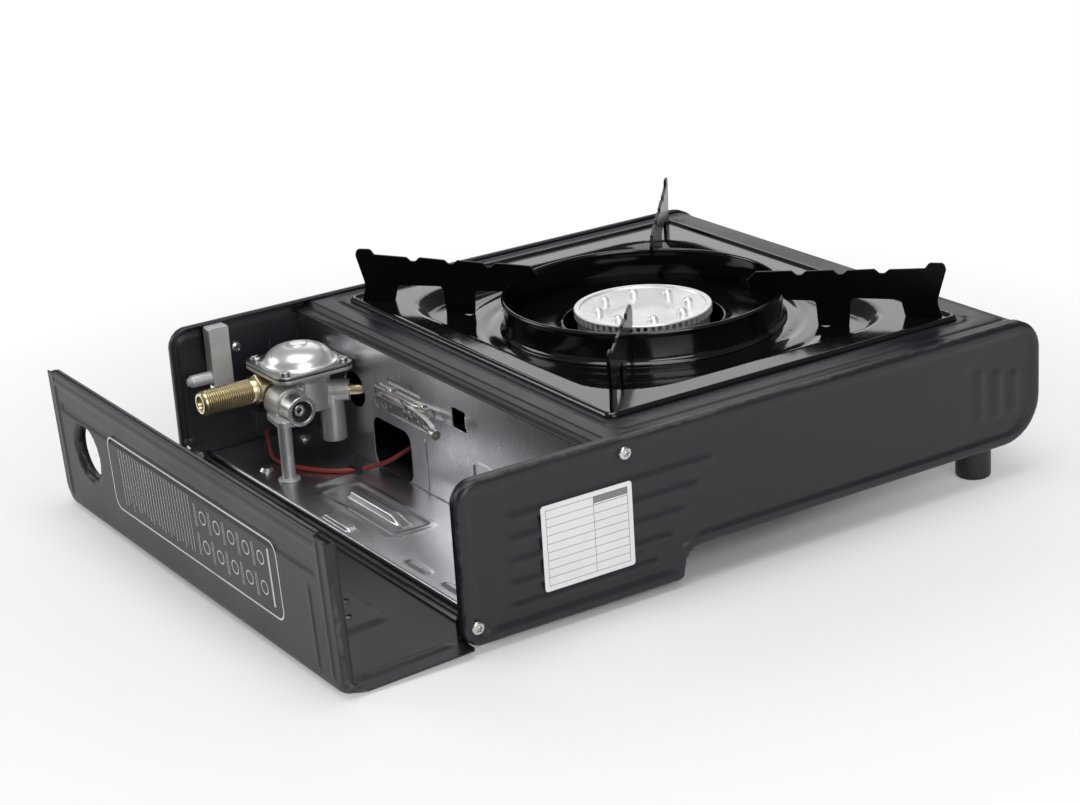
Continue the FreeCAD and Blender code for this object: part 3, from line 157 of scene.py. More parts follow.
def addFloor():
    bm = bmesh.new()
    bmesh.ops.create_grid(bm, x_segments=1, y_segments=1, size=studio["floorSize"])
    mesh = bpy.data.meshes.new("studioFloor")
    bm.to_mesh(mesh)
    bm.free()
    floor = addObject("studioFloor", mesh)
    floor.location = (0, 0, -studio["floorDrop"])
    material = bpy.data.materials.new("paleFloor")
    material.use_nodes = True
    tree = material.node_tree
    shader = tree.nodes["Principled BSDF"]
    shader.inputs["Base Color"].default_value = (*studio["floorColor"], 1)
    shader.inputs["Roughness"].default_value = studio["floorRoughness"]
    shader.inputs["Specular IOR Level"].default_value = studio["floorSpecular"]
    # away from the object the floor runs into the white background
    where = tree.nodes.new("ShaderNodeTexCoord")
    length = tree.nodes.new("ShaderNodeVectorMath")
    length.operation = "LENGTH"
    tree.links.new(where.outputs["Object"], length.inputs[0])
    fade = addRange(tree, length.outputs["Value"], studio["whiteFrom"], studio["whiteAt"])
    path = tree.nodes.new("ShaderNodeLightPath")
    seen = addMath(tree, "MAXIMUM", path.outputs["Is Camera Ray"], path.outputs["Is Glossy Ray"])
    seen = addMath(tree, "MAXIMUM", seen, path.outputs["Is Transmission Ray"])
    glow = tree.nodes.new("ShaderNodeEmission")
    glow.inputs["Color"].default_value = (1, 1, 1, 1)
    mix = tree.nodes.new("ShaderNodeMixShader")
    tree.links.new(addMath(tree, "MULTIPLY", fade, seen), mix.inputs[0])
    tree.links.new(shader.outputs[0], mix.inputs[1])
    tree.links.new(glow.outputs[0], mix.inputs[2])
    tree.links.new(mix.outputs[0], tree.nodes["Material Output"].inputs["Surface"])
    mesh.materials.append(material)


addWorld()
addLamps()
addFloor()
bpy.context.scene.view_settings.view_transform = "Standard"
print("studio ready")


def newGroup(name, inputs, outputs):
    group = bpy.data.node_groups.new(name, "ShaderNodeTree")
    for label, kind, value in inputs:
        socket = group.interface.new_socket(name=label, in_out="INPUT", socket_type=kind)
        if value is not None:
            socket.default_value = value
    for label, kind in outputs:
        group.interface.new_socket(name=label, in_out="OUTPUT", socket_type=kind)
    into = group.nodes.new("NodeGroupInput")
    out = group.nodes.new("NodeGroupOutput")
    return group, into, out


def makeGrainGroup():
    # fine grain for bump, a cloudy mask for roughness and sparse dust specks
    group, into, out = newGroup(
        "surfaceGrain",
        (("Vector", "NodeSocketVector", None), ("Grain Scale", "NodeSocketFloat", 900.0),
         ("Cloud Scale", "NodeSocketFloat", 14.0)),
        (("Height", "NodeSocketFloat"), ("Cloud", "NodeSocketFloat"),
         ("Dust", "NodeSocketFloat")))
    place = into.outputs["Vector"]
    grain = addNoise(group, place, into.outputs["Grain Scale"], 2.0)
    group.links.new(grain, out.inputs["Height"])
    cloud = addNoise(group, place, into.outputs["Cloud Scale"], 4.0, 0.6)
    group.links.new(addRange(group, cloud, 0.32, 0.68), out.inputs["Cloud"])
    specks = group.nodes.new("ShaderNodeTexVoronoi")
    specks.inputs["Scale"].default_value = 330.0
    group.links.new(place, specks.inputs["Vector"])
    near = addRange(group, specks.outputs["Distance"], 0.05, 0.13, 1.0, 0.0)
    patch = addRange(group, addNoise(group, place, 60.0, 2.0), 0.55, 0.62)
    group.links.new(addMath(group, "MULTIPLY", near, patch), out.inputs["Dust"])
    return group


def makeScratchGroup():
    # long thin marks: stretched noise kept only near its middle value
    group, into, out = newGroup(
        "fineScratches",
        (("Vector", "NodeSocketVector", None), ("Scale", "NodeSocketFloat", 60.0)),
        (("Mask", "NodeSocketFloat"),))
    parts = []
    for turn, stretch in ((0.5, 9.0), (2.1, 14.0)):
        mapping = group.nodes.new("ShaderNodeMapping")
        mapping.inputs["Rotation"].default_value = (turn, turn * 0.6, turn * 1.7)
        mapping.inputs["Scale"].default_value = (1.0, stretch, 1.0)
        group.links.new(into.outputs["Vector"], mapping.inputs["Vector"])
        line = addNoise(group, mapping.outputs[0], into.outputs["Scale"], 1.0)
        away = addMath(group, "ABSOLUTE", addMath(group, "SUBTRACT", line, 0.5))
        thin = addRange(group, away, 0.0, 0.006, 1.0, 0.0)
        cloud = addNoise(group, into.outputs["Vector"], 25.0 + 9 * turn, 1.0)
        patch = addRange(group, cloud, 0.5, 0.6)
        parts.append(addMath(group, "MULTIPLY", thin, patch))
    group.links.new(addMath(group, "MAXIMUM", parts[0], parts[1]), out.inputs["Mask"])
    return group


def makeSpangleGroup():
    # crystals of a zinc coat: cells of differing brightness with a cloudy stain over them
    group, into, out = newGroup(
        "zincSpangle",
        (("Vector", "NodeSocketVector", None), ("Scale", "NodeSocketFloat", 150.0)),
        (("Tone", "NodeSocketFloat"), ("Stain", "NodeSocketFloat")))
    cells = group.nodes.new("ShaderNodeTexVoronoi")
    group.links.new(into.outputs["Vector"], cells.inputs["Vector"])
    group.links.new(into.outputs["Scale"], cells.inputs["Scale"])
    split = group.nodes.new("ShaderNodeSeparateColor")
    group.links.new(cells.outputs["Color"], split.inputs[0])
    group.links.new(split.outputs[0], out.inputs["Tone"])
    stain = addNoise(group, into.outputs["Vector"], 22.0, 5.0, 0.62)
    group.links.new(addRange(group, stain, 0.35, 0.7), out.inputs["Stain"])
    return group


def makeWearGroup():
    # the wear attribute of a piece broken up by noise, so that only parts of an edge are rubbed
    group, into, out = newGroup(
        "edgeWear",
        (("Vector", "NodeSocketVector", None), ("Amount", "NodeSocketFloat", 0.5)),
        (("Mask", "NodeSocketFloat"),))
    edge = group.nodes.new("ShaderNodeAttribute")
    edge.attribute_name = "wear"
    broken = addNoise(group, into.outputs["Vector"], 240.0, 4.0, 0.65)
    patch = addNoise(group, into.outputs["Vector"], 30.0, 2.0, 0.5)
    total = addMath(group, "ADD", addMath(group, "MULTIPLY", broken, 0.6),
                    addMath(group, "MULTIPLY", patch, 0.5))
    reach = addMath(group, "MULTIPLY", edge.outputs["Fac"], into.outputs["Amount"])
    mask = addRange(group, addMath(group, "ADD", total, reach), 0.86, 1.02)
    gate = addRange(group, edge.outputs["Fac"], 0.05, 0.3)
    group.links.new(addMath(group, "MULTIPLY", mask, gate), out.inputs["Mask"])
    return group


grainGroup = makeGrainGroup()
wearGroup = makeWearGroup()
scratchGroup = makeScratchGroup()
spangleGroup = makeSpangleGroup()


def placeGroup(tree, group, vector, **values):
    node = tree.nodes.new("ShaderNodeGroup")
    node.node_tree = group
    tree.links.new(vector, node.inputs["Vector"])
    for label, value in values.items():
        node.inputs[label.replace("_", " ")].default_value = value
    return node


def newFinish(name, metallic=0.0, coat=0.0, coatRoughness=0.1, ior=1.5):
    material = bpy.data.materials.new(name)
    material.use_nodes = True
    tree = material.node_tree
    shader = tree.nodes["Principled BSDF"]
    shader.inputs["Metallic"].default_value = metallic
    shader.inputs["Coat Weight"].default_value = coat
    shader.inputs["Coat Roughness"].default_value = coatRoughness
    shader.inputs["IOR"].default_value = ior
    where = tree.nodes.new("ShaderNodeTexCoord").outputs["Object"]
    return material, tree, shader, where


def colorMix(tree, factor, first, second):
    node = tree.nodes.new("ShaderNodeMix")
    node.data_type = "RGBA"
    for index, value in ((0, factor), (6, first), (7, second)):
        setOrLink(tree, node.inputs[index], value)
    return node.outputs[2]


def addBump(tree, shader, height, strength, distance):
    bump = tree.nodes.new("ShaderNodeBump")
    bump.inputs["Strength"].default_value = strength
    bump.inputs["Distance"].default_value = distance
    tree.links.new(height, bump.inputs["Height"])
    tree.links.new(bump.outputs[0], shader.inputs["Normal"])


def setRoughness(tree, shader, mask, span, marks=None, scuff=0.0):
    rough = addRange(tree, mask, 0.0, 1.0, *span)
    if marks is not None:
        scuffed = addMath(tree, "MULTIPLY", marks.outputs["Mask"], scuff)
        rough = addMath(tree, "ADD", rough, scuffed)
    tree.links.new(rough, shader.inputs["Roughness"])


paintLook = {
    "color": (0.0098, 0.0095, 0.0146),
    "cloudColor": (0.0140, 0.0136, 0.0200),
    "dustColor": (0.10, 0.10, 0.10),
    "wornColor": (0.055, 0.055, 0.058),
    "wear": 0.45,
    "ior": 1.5,
    "roughness": (0.34, 0.45),
    "coatRoughness": 0.2,
    "grainScale": 1500.0,
}
enamelLook = {
    "color": (0.0026, 0.0026, 0.0032),
    "cloudColor": (0.0046, 0.0046, 0.0054),
    "dustColor": (0.06, 0.06, 0.06),
    "wornColor": (0.018, 0.018, 0.018),
    "wear": 0.35,
    "ior": 1.52,
    "roughness": (0.08, 0.17),
    "coatRoughness": 0.06,
    "grainScale": 260.0,
}
supportLook = {
    "color": (0.0024, 0.0024, 0.0029),
    "cloudColor": (0.0030, 0.0030, 0.0036),
    "dustColor": (0.004, 0.004, 0.004),
    "wornColor": (0.030, 0.030, 0.031),
    "wear": 0.1,
    "ior": 1.2,
    "roughness": (0.20, 0.25),
    "coatRoughness": 0.3,
    "grainScale": 600.0,
}


def makePaint(name, look, coat, bumpStrength, bumpDistance, dust=0.35):
    material, tree, shader, where = newFinish(
        name, coat=coat, coatRoughness=look["coatRoughness"], ior=look["ior"])
    grain = placeGroup(tree, grainGroup, where, Grain_Scale=look["grainScale"], Cloud_Scale=11.0)
    marks = placeGroup(tree, scratchGroup, where, Scale=38.0)
    worn = placeGroup(tree, wearGroup, where, Amount=look["wear"])
    base = colorMix(tree, grain.outputs["Cloud"], look["color"], look["cloudColor"])
    dusty = addMath(tree, "MULTIPLY", grain.outputs["Dust"], dust)
    base = colorMix(tree, dusty, base, look["dustColor"])
    base = colorMix(tree, worn.outputs["Mask"], base, look["wornColor"])
    tree.links.new(base, shader.inputs["Base Color"])
    setRoughness(tree, shader, grain.outputs["Cloud"], look["roughness"], marks, 0.12)
    addBump(tree, shader, grain.outputs["Height"], bumpStrength, bumpDistance)
    return material


zincLook = {
    "dark": (0.50, 0.505, 0.525),
    "light": (0.66, 0.665, 0.69),
    "middle": (0.60, 0.605, 0.63),
    "stain": (0.46, 0.46, 0.475),
    "roughness": (0.27, 0.33),
}


def makeZinc():
    material, tree, shader, where = newFinish("galvanisedSheet", metallic=1.0)
    spangle = placeGroup(tree, spangleGroup, where, Scale=420.0)
    marks = placeGroup(tree, scratchGroup, where, Scale=55.0)
    tone = colorMix(tree, spangle.outputs["Tone"], zincLook["dark"], zincLook["light"])
    tone = colorMix(tree, 0.7, tone, zincLook["middle"])
    stained = addMath(tree, "MULTIPLY", spangle.outputs["Stain"], 0.3)
    tone = colorMix(tree, stained, tone, zincLook["stain"])
    tree.links.new(tone, shader.inputs["Base Color"])
    setRoughness(tree, shader, spangle.outputs["Stain"], zincLook["roughness"], marks, 0.08)
    addBump(tree, shader, spangle.outputs["Stain"], 0.06, 0.0003)
    return material


metalLooks = {
    # name: dark, light, roughness low and high, bump strength, bump distance, grain scale
    "castAlloy": ((0.42, 0.42, 0.425), (0.60, 0.60, 0.605), 0.34, 0.52, 0.55, 0.00022, 700.0),
    "chromePlate": ((0.86, 0.86, 0.865), (0.95, 0.95, 0.955), 0.28, 0.36, 0.05, 0.0002, 120.0),
    "pressedFlange": ((0.30, 0.30, 0.30), (0.42, 0.42, 0.42), 0.30, 0.42, 0.15, 0.0002, 500.0),
    "brassBar": ((0.62, 0.52, 0.32), (0.84, 0.74, 0.50), 0.22, 0.38, 0.08, 0.0001, 500.0),
    "zincScrew": ((0.48, 0.48, 0.47), (0.70, 0.70, 0.69), 0.22, 0.38, 0.10, 0.0001, 600.0),
    "platedLever": ((0.52, 0.52, 0.53), (0.66, 0.66, 0.67), 0.40, 0.54, 0.20, 0.0001, 900.0),
    "brightAluminium": ((0.88, 0.88, 0.89), (0.96, 0.96, 0.97), 0.34, 0.50, 0.22, 0.0002, 520.0),
    "springSteel": ((0.35, 0.34, 0.33), (0.55, 0.54, 0.53), 0.25, 0.40, 0.10, 0.0001, 500.0),
}


def makeMetal(name, metallic=1.0):
    dark, light, low, high, strength, distance, scale = metalLooks[name]
    material, tree, shader, where = newFinish(name, metallic=metallic)
    grain = placeGroup(tree, grainGroup, where, Grain_Scale=scale, Cloud_Scale=70.0)
    marks = placeGroup(tree, scratchGroup, where, Scale=110.0)
    tone = colorMix(tree, grain.outputs["Cloud"], dark, light)
    tree.links.new(tone, shader.inputs["Base Color"])
    setRoughness(tree, shader, grain.outputs["Cloud"], (high, low), marks, 0.12)
    addBump(tree, shader, grain.outputs["Height"], strength, distance)
    return material


plasticLooks = {
    # name: dark, light, roughness low and high, bump strength, grain scale
    "blackPlastic": ((0.008, 0.008, 0.008), (0.014, 0.014, 0.014), 0.42, 0.56, 0.35, 1400.0),
    "blackRubber": ((0.010, 0.010, 0.010), (0.018, 0.018, 0.018), 0.62, 0.78, 0.4, 900.0),
    "redInsulation": ((0.20, 0.020, 0.018), (0.28, 0.032, 0.026), 0.38, 0.5, 0.15, 600.0),
    "whiteCeramic": ((0.66, 0.64, 0.58), (0.74, 0.72, 0.67), 0.25, 0.4, 0.1, 600.0),
}


def makePlastic(name):
    dark, light, low, high, strength, scale = plasticLooks[name]
    material, tree, shader, where = newFinish(name)
    grain = placeGroup(tree, grainGroup, where, Grain_Scale=scale, Cloud_Scale=40.0)
    tree.links.new(colorMix(tree, grain.outputs["Cloud"], dark, light), shader.inputs["Base Color"])
    setRoughness(tree, shader, grain.outputs["Cloud"], (low, high))
    addBump(tree, shader, grain.outputs["Height"], strength, 0.0001)
    return material


finishes = {
    "black_paint": makePaint("satinBlackPaint", paintLook, 0.0, 0.35, 0.00012),
    "black_enamel": makePaint("blackEnamel", enamelLook, 0.25, 0.10, 0.0003, dust=0.03),
    "support_enamel": makePaint("supportEnamel", supportLook, 0.0, 0.15, 0.0002, dust=0.02),
    "galvanised_steel": makeZinc(),
    "plated_steel": makeMetal("zincScrew"),
    "spring_steel": makeMetal("springSteel"),
    "bright_aluminium": makeMetal("brightAluminium", metallic=0.7),
    "cast_alloy": makeMetal("castAlloy", metallic=0.7),
    "polished_chrome": makeMetal("chromePlate", metallic=0.75),
    "brass": makeMetal("brassBar"),
    "black_plastic": makePlastic("blackPlastic"),
    "seal_rubber": makePlastic("blackRubber"),
    "red_insulation": makePlastic("redInsulation"),
    "white_ceramic": makePlastic("whiteCeramic"),
    "lever_plate": makeMetal("platedLever", metallic=0.55),
    "flange_plate": makeMetal("pressedFlange"),
}
print("finishes made:", len(finishes))

slotOf = {part["node"]: part["material_slot"] for part in frame["record"]["subparts"]}
bodyOf = {}
for bodyName, nodeNames in frame["record"]["behaviour"]["bodies"].items():
    for nodeName in nodeNames:
        bodyOf[nodeName] = bodyName


def addMesh(name, bm, finish, scale=True):
    if scale:
        bmesh.ops.transform(bm, matrix=toPart, verts=bm.verts)
    mesh = bpy.data.meshes.new(name)
    bm.to_mesh(mesh)
    bm.free()
    mesh.materials.append(finishes[finish])
    return addObject(name, mesh)


def addPiece(name, bm, finish, node, scale=True, smooth=True):
    piece = addMesh(name, bm, finish, scale)
    if smooth:
        piece.data.shade_smooth()
    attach(piece, bodyOf[node])
    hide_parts(node)
    return piece


def keepSharp(piece, degrees):
    piece.data.set_sharp_from_angle(angle=math.radians(degrees))


def addThickness(piece, millimetres):
    wall = piece.modifiers.new("sheetThickness", "SOLIDIFY")
    wall.thickness = millimetres * 0.001
    wall.offset = -1.0


def ease(share):
    share = min(max(share, 0.0), 1.0)
    return share * share * (3 - 2 * share)


def rounding(distance, radius):
    # how far a rolled edge has dropped at this distance from the rim
    if distance >= radius:
        return 0.0
    return radius - math.sqrt(max(radius * radius - (radius - max(distance, 0.0)) ** 2, 0.0))


def roundBox(u, v, spot, half, radius):
    # distance to a rounded rectangle, negative inside it
    du = abs(u - spot[0]) - (half[0] - radius)
    dv = abs(v - spot[1]) - (half[1] - radius)
    return math.hypot(max(du, 0.0), max(dv, 0.0)) + min(max(du, dv), 0.0) - radius


def arcPoints(before, corner, after, turnStep, fewest):
    # points of the arc that rounds a (u, v, radius) corner
    radius = corner[2]
    corner = Vector(corner[:2])
    back = (Vector(before[:2]) - corner).normalized()
    ahead = (Vector(after[:2]) - corner).normalized()
    half = back.angle(ahead) / 2
    reach = radius / math.tan(half)
    centre = corner + (back + ahead).normalized() * (radius / math.sin(half))
    start = corner + back * reach - centre
    sweep = start.angle_signed(corner + ahead * reach - centre)
    steps = max(fewest, int(abs(sweep) / turnStep))
    points = []
    for step in range(steps + 1):
        turned = start.copy()
        turned.rotate(Matrix.Rotation(-sweep * step / steps, 2))
        points.append(centre + turned)
    return points


def roundedPoints(corners, turnStep=0.16):
    # points round a closed outline of (u, v, radius) corners, with arcs at the rounded ones
    points = []
    for index, corner in enumerate(corners):
        if corner[2] <= 0:
            points.append(Vector(corner[:2]))
        else:
            after = corners[(index + 1) % len(corners)]
            points += arcPoints(corners[index - 1], corner, after, turnStep, 3)
    return points


def vertsOf(made):
    return [item for item in made["geom"] if isinstance(item, bmesh.types.BMVert)]


def boxCorners(spot, half, radius):
    signs = ((-1, -1), (1, -1), (1, 1), (-1, 1))
    return [(spot[0] + a * half[0], spot[1] + b * half[1], radius) for a, b in signs]


def circlePoints(spot, radius, steps=48):
    return [Vector((spot[0] + radius * math.cos(math.tau * k / steps),
                    spot[1] + radius * math.sin(math.tau * k / steps))) for k in range(steps)]


def evenCuts(low, high, step):
    count = max(1, round((high - low) / step))
    return [low + (high - low) * k / count for k in range(1, count)]


def cutSheet(outline, holes, uCuts, vCuts):
    # a flat sheet in the u-v plane with its holes, divided along both lists of cuts
    bm = bmesh.new()
    edges = []
    for points in [outline] + list(holes):
        ring = [bm.verts.new((point[0], point[1], 0.0)) for point in points]
        edges += [bm.edges.new((ring[k - 1], ring[k])) for k in range(len(ring))]
    bmesh.ops.triangle_fill(bm, use_beauty=True, edges=edges)
    for normal, cuts in ((Vector((1, 0, 0)), uCuts), (Vector((0, 1, 0)), vCuts)):
        for cut in cuts:
            bmesh.ops.bisect_plane(bm, geom=bm.verts[:] + bm.edges[:] + bm.faces[:], dist=1e-4,
                                   plane_co=normal * cut, plane_no=normal)
    slanted = []
    for edge in bm.edges:
        run = edge.verts[0].co - edge.verts[1].co
        if len(edge.link_faces) == 2 and abs(run.x) > 1e-4 and abs(run.y) > 1e-4:
            slanted.append(edge)
    bmesh.ops.dissolve_edges(bm, edges=slanted, use_verts=False)
    for face in bm.faces:
        if face.normal.z < 0:
            face.normal_flip()
    return bm


def borderDistance(points, u, v, far):
    # distance to the nearest side of an outline, where that is less than far
    nearest = far
    for k in range(len(points)):
        a, b = points[k - 1], points[k]
        if (min(a[0], b[0]) - u > nearest or u - max(a[0], b[0]) > nearest
                or min(a[1], b[1]) - v > nearest or v - max(a[1], b[1]) > nearest):
            continue
        run = (b[0] - a[0], b[1] - a[1])
        length = run[0] ** 2 + run[1] ** 2
        along = 0.0
        if length > 0:
            along = min(max(((u - a[0]) * run[0] + (v - a[1]) * run[1]) / length, 0.0), 1.0)
        nearest = min(nearest, math.hypot(u - a[0] - run[0] * along, v - a[1] - run[1] * along))
    return nearest


def pressSheet(bm, height, place, flange=None):
    # lifts each point by the height pressed there, after folding a flange back from chosen edges
    wear = bm.verts.layers.float.new("wear")
    depth = {}
    if flange:
        rim = [edge for edge in bm.edges if edge.is_boundary
               and all(flange["chosen"](vert.co.x, vert.co.y) for vert in edge.verts)]
        for vert in vertsOf(bmesh.ops.extrude_edge_only(bm, edges=rim)):
            depth[vert] = flange["depth"]
    for vert in bm.verts:
        u, v = vert.co.x, vert.co.y
        lift, rubbed = height(u, v)
        if vert in depth:
            deep = depth[vert]
            lift, rubbed = min(lift - 0.05, -(deep(u) if callable(deep) else deep)), 0.0
        vert[wear] = rubbed
        vert.co = Vector(place(u, v, lift))
    return bm


def spinProfile(points, spot, axis=(0, 0, 1), steps=64):
    # points are (radius, height) turned about an axis through the spot
    bm = bmesh.new()
    axis = Vector(axis)
    side = Vector((1, 0, 0)) if abs(axis.x) < 0.5 else Vector((0, 1, 0))
    spot = Vector(spot)
    chain = [bm.verts.new(spot + side * radius + axis * rise) for radius, rise in points]
    edges = [bm.edges.new((a, b)) for a, b in zip(chain, chain[1:])]
    bmesh.ops.spin(bm, geom=chain + edges, cent=spot, axis=axis, dvec=(0, 0, 0), angle=math.tau,
                   steps=steps, use_merge=True, use_duplicate=False)
    bmesh.ops.remove_doubles(bm, verts=bm.verts, dist=1e-4)
    bmesh.ops.recalc_face_normals(bm, faces=bm.faces)
    return bm


def joinInto(bm, other, matrix=None):
    if matrix is not None:
        bmesh.ops.transform(other, matrix=matrix, verts=other.verts)
    mesh = bpy.data.meshes.new("joining")
    other.to_mesh(mesh)
    other.free()
    bm.from_mesh(mesh)
    bpy.data.meshes.remove(mesh)


dressing = {"weld": 2e-6, "flat": 0.5, "sharp": 30.0, "smooth": 50.0}


def dressNode(nodeName, name, finish, width, segments, extra=None):
    # a copy of a CAD node with its hard edges rounded over and rubbed
    bm = bmesh.new()
    bm.from_mesh(frame["nodes"][nodeName].data)
    bmesh.ops.remove_doubles(bm, verts=bm.verts, dist=dressing["weld"])
    bmesh.ops.dissolve_limit(bm, angle_limit=math.radians(dressing["flat"]), delimit=set(),
                             use_dissolve_boundaries=False, verts=bm.verts, edges=bm.edges)
    sharp = math.radians(dressing["sharp"])
    hard = [edge for edge in bm.edges if edge.is_manifold and edge.calc_face_angle(0.0) > sharp]
    rounded = bmesh.ops.bevel(bm, geom=hard, offset=width * 0.001, offset_type="OFFSET",
                              segments=segments, profile=0.5, affect="EDGES", clamp_overlap=False,
                              material=-1)
    wear = bm.verts.layers.float.new("wear")
    for face in rounded["faces"]:
        for vert in face.verts:
            vert[wear] = 1.0
    if extra is not None:
        joinInto(bm, extra)
    piece = addPiece(name, bm, finish, nodeName, scale=False)
    keepSharp(piece, dressing["smooth"])
    piece.modifiers.new("evenNormals", "WEIGHTED_NORMAL").keep_sharp = True


print("making the end panels")
panel = {
    "left": -245.0, "right": 77.8, "top": 76.9, "burnerLow": 17.0, "bayLow": 3.0,
    "back": 140.0, "flange": 6.3, "press": 1.2, "sheet": 0.8,
    "roll": 2.4, "border": (4.2, 6.8),
    "dishes": ((-6.2, 69.9), (72.0, 11.9)), "dishRadius": 6.6, "dishDepth": 0.7, "dishSlope": 2.6,
    "ribHeight": 1.05, "ribDip": 0.4, "dipReach": 9.0, "ribHalf": 3.1, "ribSlope": 1.4,
    "ribPitch": 10.1, "ribLow": 14.8, "ribCount": 5, "ribEnd": 56.0, "ribStart": -21.4, "ribStep": -7.9,
    "uprightCount": 3, "uprightX": -207.4, "uprightStep": -10.8, "uprightLow": 33.0,
    "uprightHigh": 58.0, "uprightDrop": 2.5,
    "slotX": 54.5, "slotHalf": 2.85, "slotLow": 36.65, "slotHigh": 65.35,
    "edgeRubbed": 2.2, "stepRubbed": 1.2,
    # distances from the rim of the closer cuts, and the pitch of the others
    "near": (0.35, 0.8, 1.4, 2.2, 3.4, 4.6, 5.8, 7.0, 8.4), "across": 2.47, "along": 1.425,
}


def panelCorners():
    p = panel
    return [
        (p["left"], p["burnerLow"], 22.0), (-37.5, p["burnerLow"], 9.0), (-34.5, p["bayLow"], 3.0),
        (p["right"], p["bayLow"], 8.0), (p["right"], p["top"], 10.0), (p["left"], p["top"], 15.0),
    ]


def panelRibs(withLong):
    p = panel
    ribs = []
    for k in range(p["uprightCount"]):
        high = p["uprightHigh"] - k * p["uprightDrop"]
        ribs.append(((p["uprightX"] + k * p["uprightStep"], (high + p["uprightLow"]) / 2),
                     (p["ribHalf"], (high - p["uprightLow"]) / 2 + p["ribSlope"])))
    for k in range(p["ribCount"] if withLong else 0):
        start = p["ribStart"] + k * p["ribStep"]
        ribs.append((((start + p["ribEnd"]) / 2, p["ribLow"] + k * p["ribPitch"]),
                     ((p["ribEnd"] - start) / 2 + p["ribSlope"], p["ribHalf"])))
    return ribs


def addEndPanel(node, name, side, withLong):
    p = panel
    outline = roundedPoints(panelCorners())
    holes = []
    if not withLong:
        spot = (p["slotX"], (p["slotLow"] + p["slotHigh"]) / 2)
        half = (p["slotHalf"], (p["slotHigh"] - p["slotLow"]) / 2)
        holes.append(roundedPoints(boxCorners(spot, half, p["slotHalf"] - 0.1)))
    ribs = panelRibs(withLong)
    near = p["near"]
    uCuts = [p["left"] + d for d in near] + [p["right"] - d for d in near]
    uCuts += evenCuts(p["left"] + near[-1], p["right"] - near[-1], p["across"])
    vCuts = [p["bayLow"] + d for d in near] + [p["top"] - d for d in near]
    vCuts += [p["burnerLow"] + d for d in near]
    vCuts += evenCuts(p["bayLow"] + near[-1], p["top"] - near[-1], p["along"])
    bm = cutSheet(outline, holes, uCuts, vCuts)

    def height(u, v):
        edge = borderDistance(outline, u, v, 10.0)
        low, high = p["border"]
        field = ease((edge - low) / (high - low))
        lift = -rounding(edge, p["roll"]) - p["press"] * field
        rubbed = 0.9 * ease(1 - edge / p["edgeRubbed"])
        rubbed += 0.25 * ease(1 - abs(edge - low) / p["stepRubbed"])
        dip = 0.0
        for spot, half in ribs:
            beyond = roundBox(u, v, spot, half, p["ribHalf"])
            dip = max(dip, ease(1.0 - beyond / p["dipReach"]))
            if beyond < 0:
                lift += p["ribHeight"] * ease(-beyond / p["ribHalf"] * p["ribSlope"]) * field
                rubbed += 0.35 * ease(-beyond / p["ribHalf"] - 0.35)
        lift -= p["ribDip"] * dip * field
        for x, z in p["dishes"]:
            inside = p["dishRadius"] - math.hypot(u - x, v - z)
            lift -= p["dishDepth"] * ease(inside / p["dishSlope"])
        return lift, rubbed

    def place(u, v, lift):
        return u, side * (p["back"] + lift), v

    def isEdge(u, v):
        return borderDistance(outline, u, v, 1.0) < 0.01

    pressSheet(bm, height, place, {"chosen": isEdge, "depth": p["flange"]})
    if side > 0:
        bmesh.ops.reverse_faces(bm, faces=bm.faces)
    addThickness(addPiece(name, bm, "black_paint", node), p["sheet"])


addEndPanel("back_panel", "backPanel", 1, True)
addEndPanel("front_panel", "frontPanel", -1, False)


def bentLine(corners, turnStep=0.2):
    # points along an open folded line of (x, z, radius) corners, with the length run at each
    points = [Vector(corners[0][:2])]
    for before, corner, after in zip(corners, corners[1:], corners[2:]):
        points += arcPoints(before, corner, after, turnStep, 2)
    points.append(Vector(corners[-1][:2]))
    runs = [0.0]
    for a, b in zip(points, points[1:]):
        runs.append(runs[-1] + (b - a).length)
    return points, runs


def onLine(line, run, lift):
    # the place at this run along a folded line, lifted off its outer side
    points, runs = line
    k = 0
    while k < len(runs) - 2 and run > runs[k + 1]:
        k += 1
    step = points[k + 1] - points[k]
    share = (run - runs[k]) / max(runs[k + 1] - runs[k], 1e-9)
    spot = points[k] + step * share
    normals = []
    for j in (k, k + 1):
        before = points[max(j - 1, 0)]
        after = points[min(j + 1, len(points) - 1)]
        way = (after - before).normalized()
        normals.append(Vector((-way.y, way.x)))
    normal = (normals[0] * (1 - share) + normals[1] * share).normalized()
    return spot + normal * lift


def runAtX(line, x):
    # the run at which a folded line passes this x
    points, runs = line
    for k in range(len(points) - 1):
        a, b = points[k].x, points[k + 1].x
        if min(a, b) <= x <= max(a, b) and a != b:
            return runs[k] + (runs[k + 1] - runs[k]) * (x - a) / (b - a)
    return runs[-1]


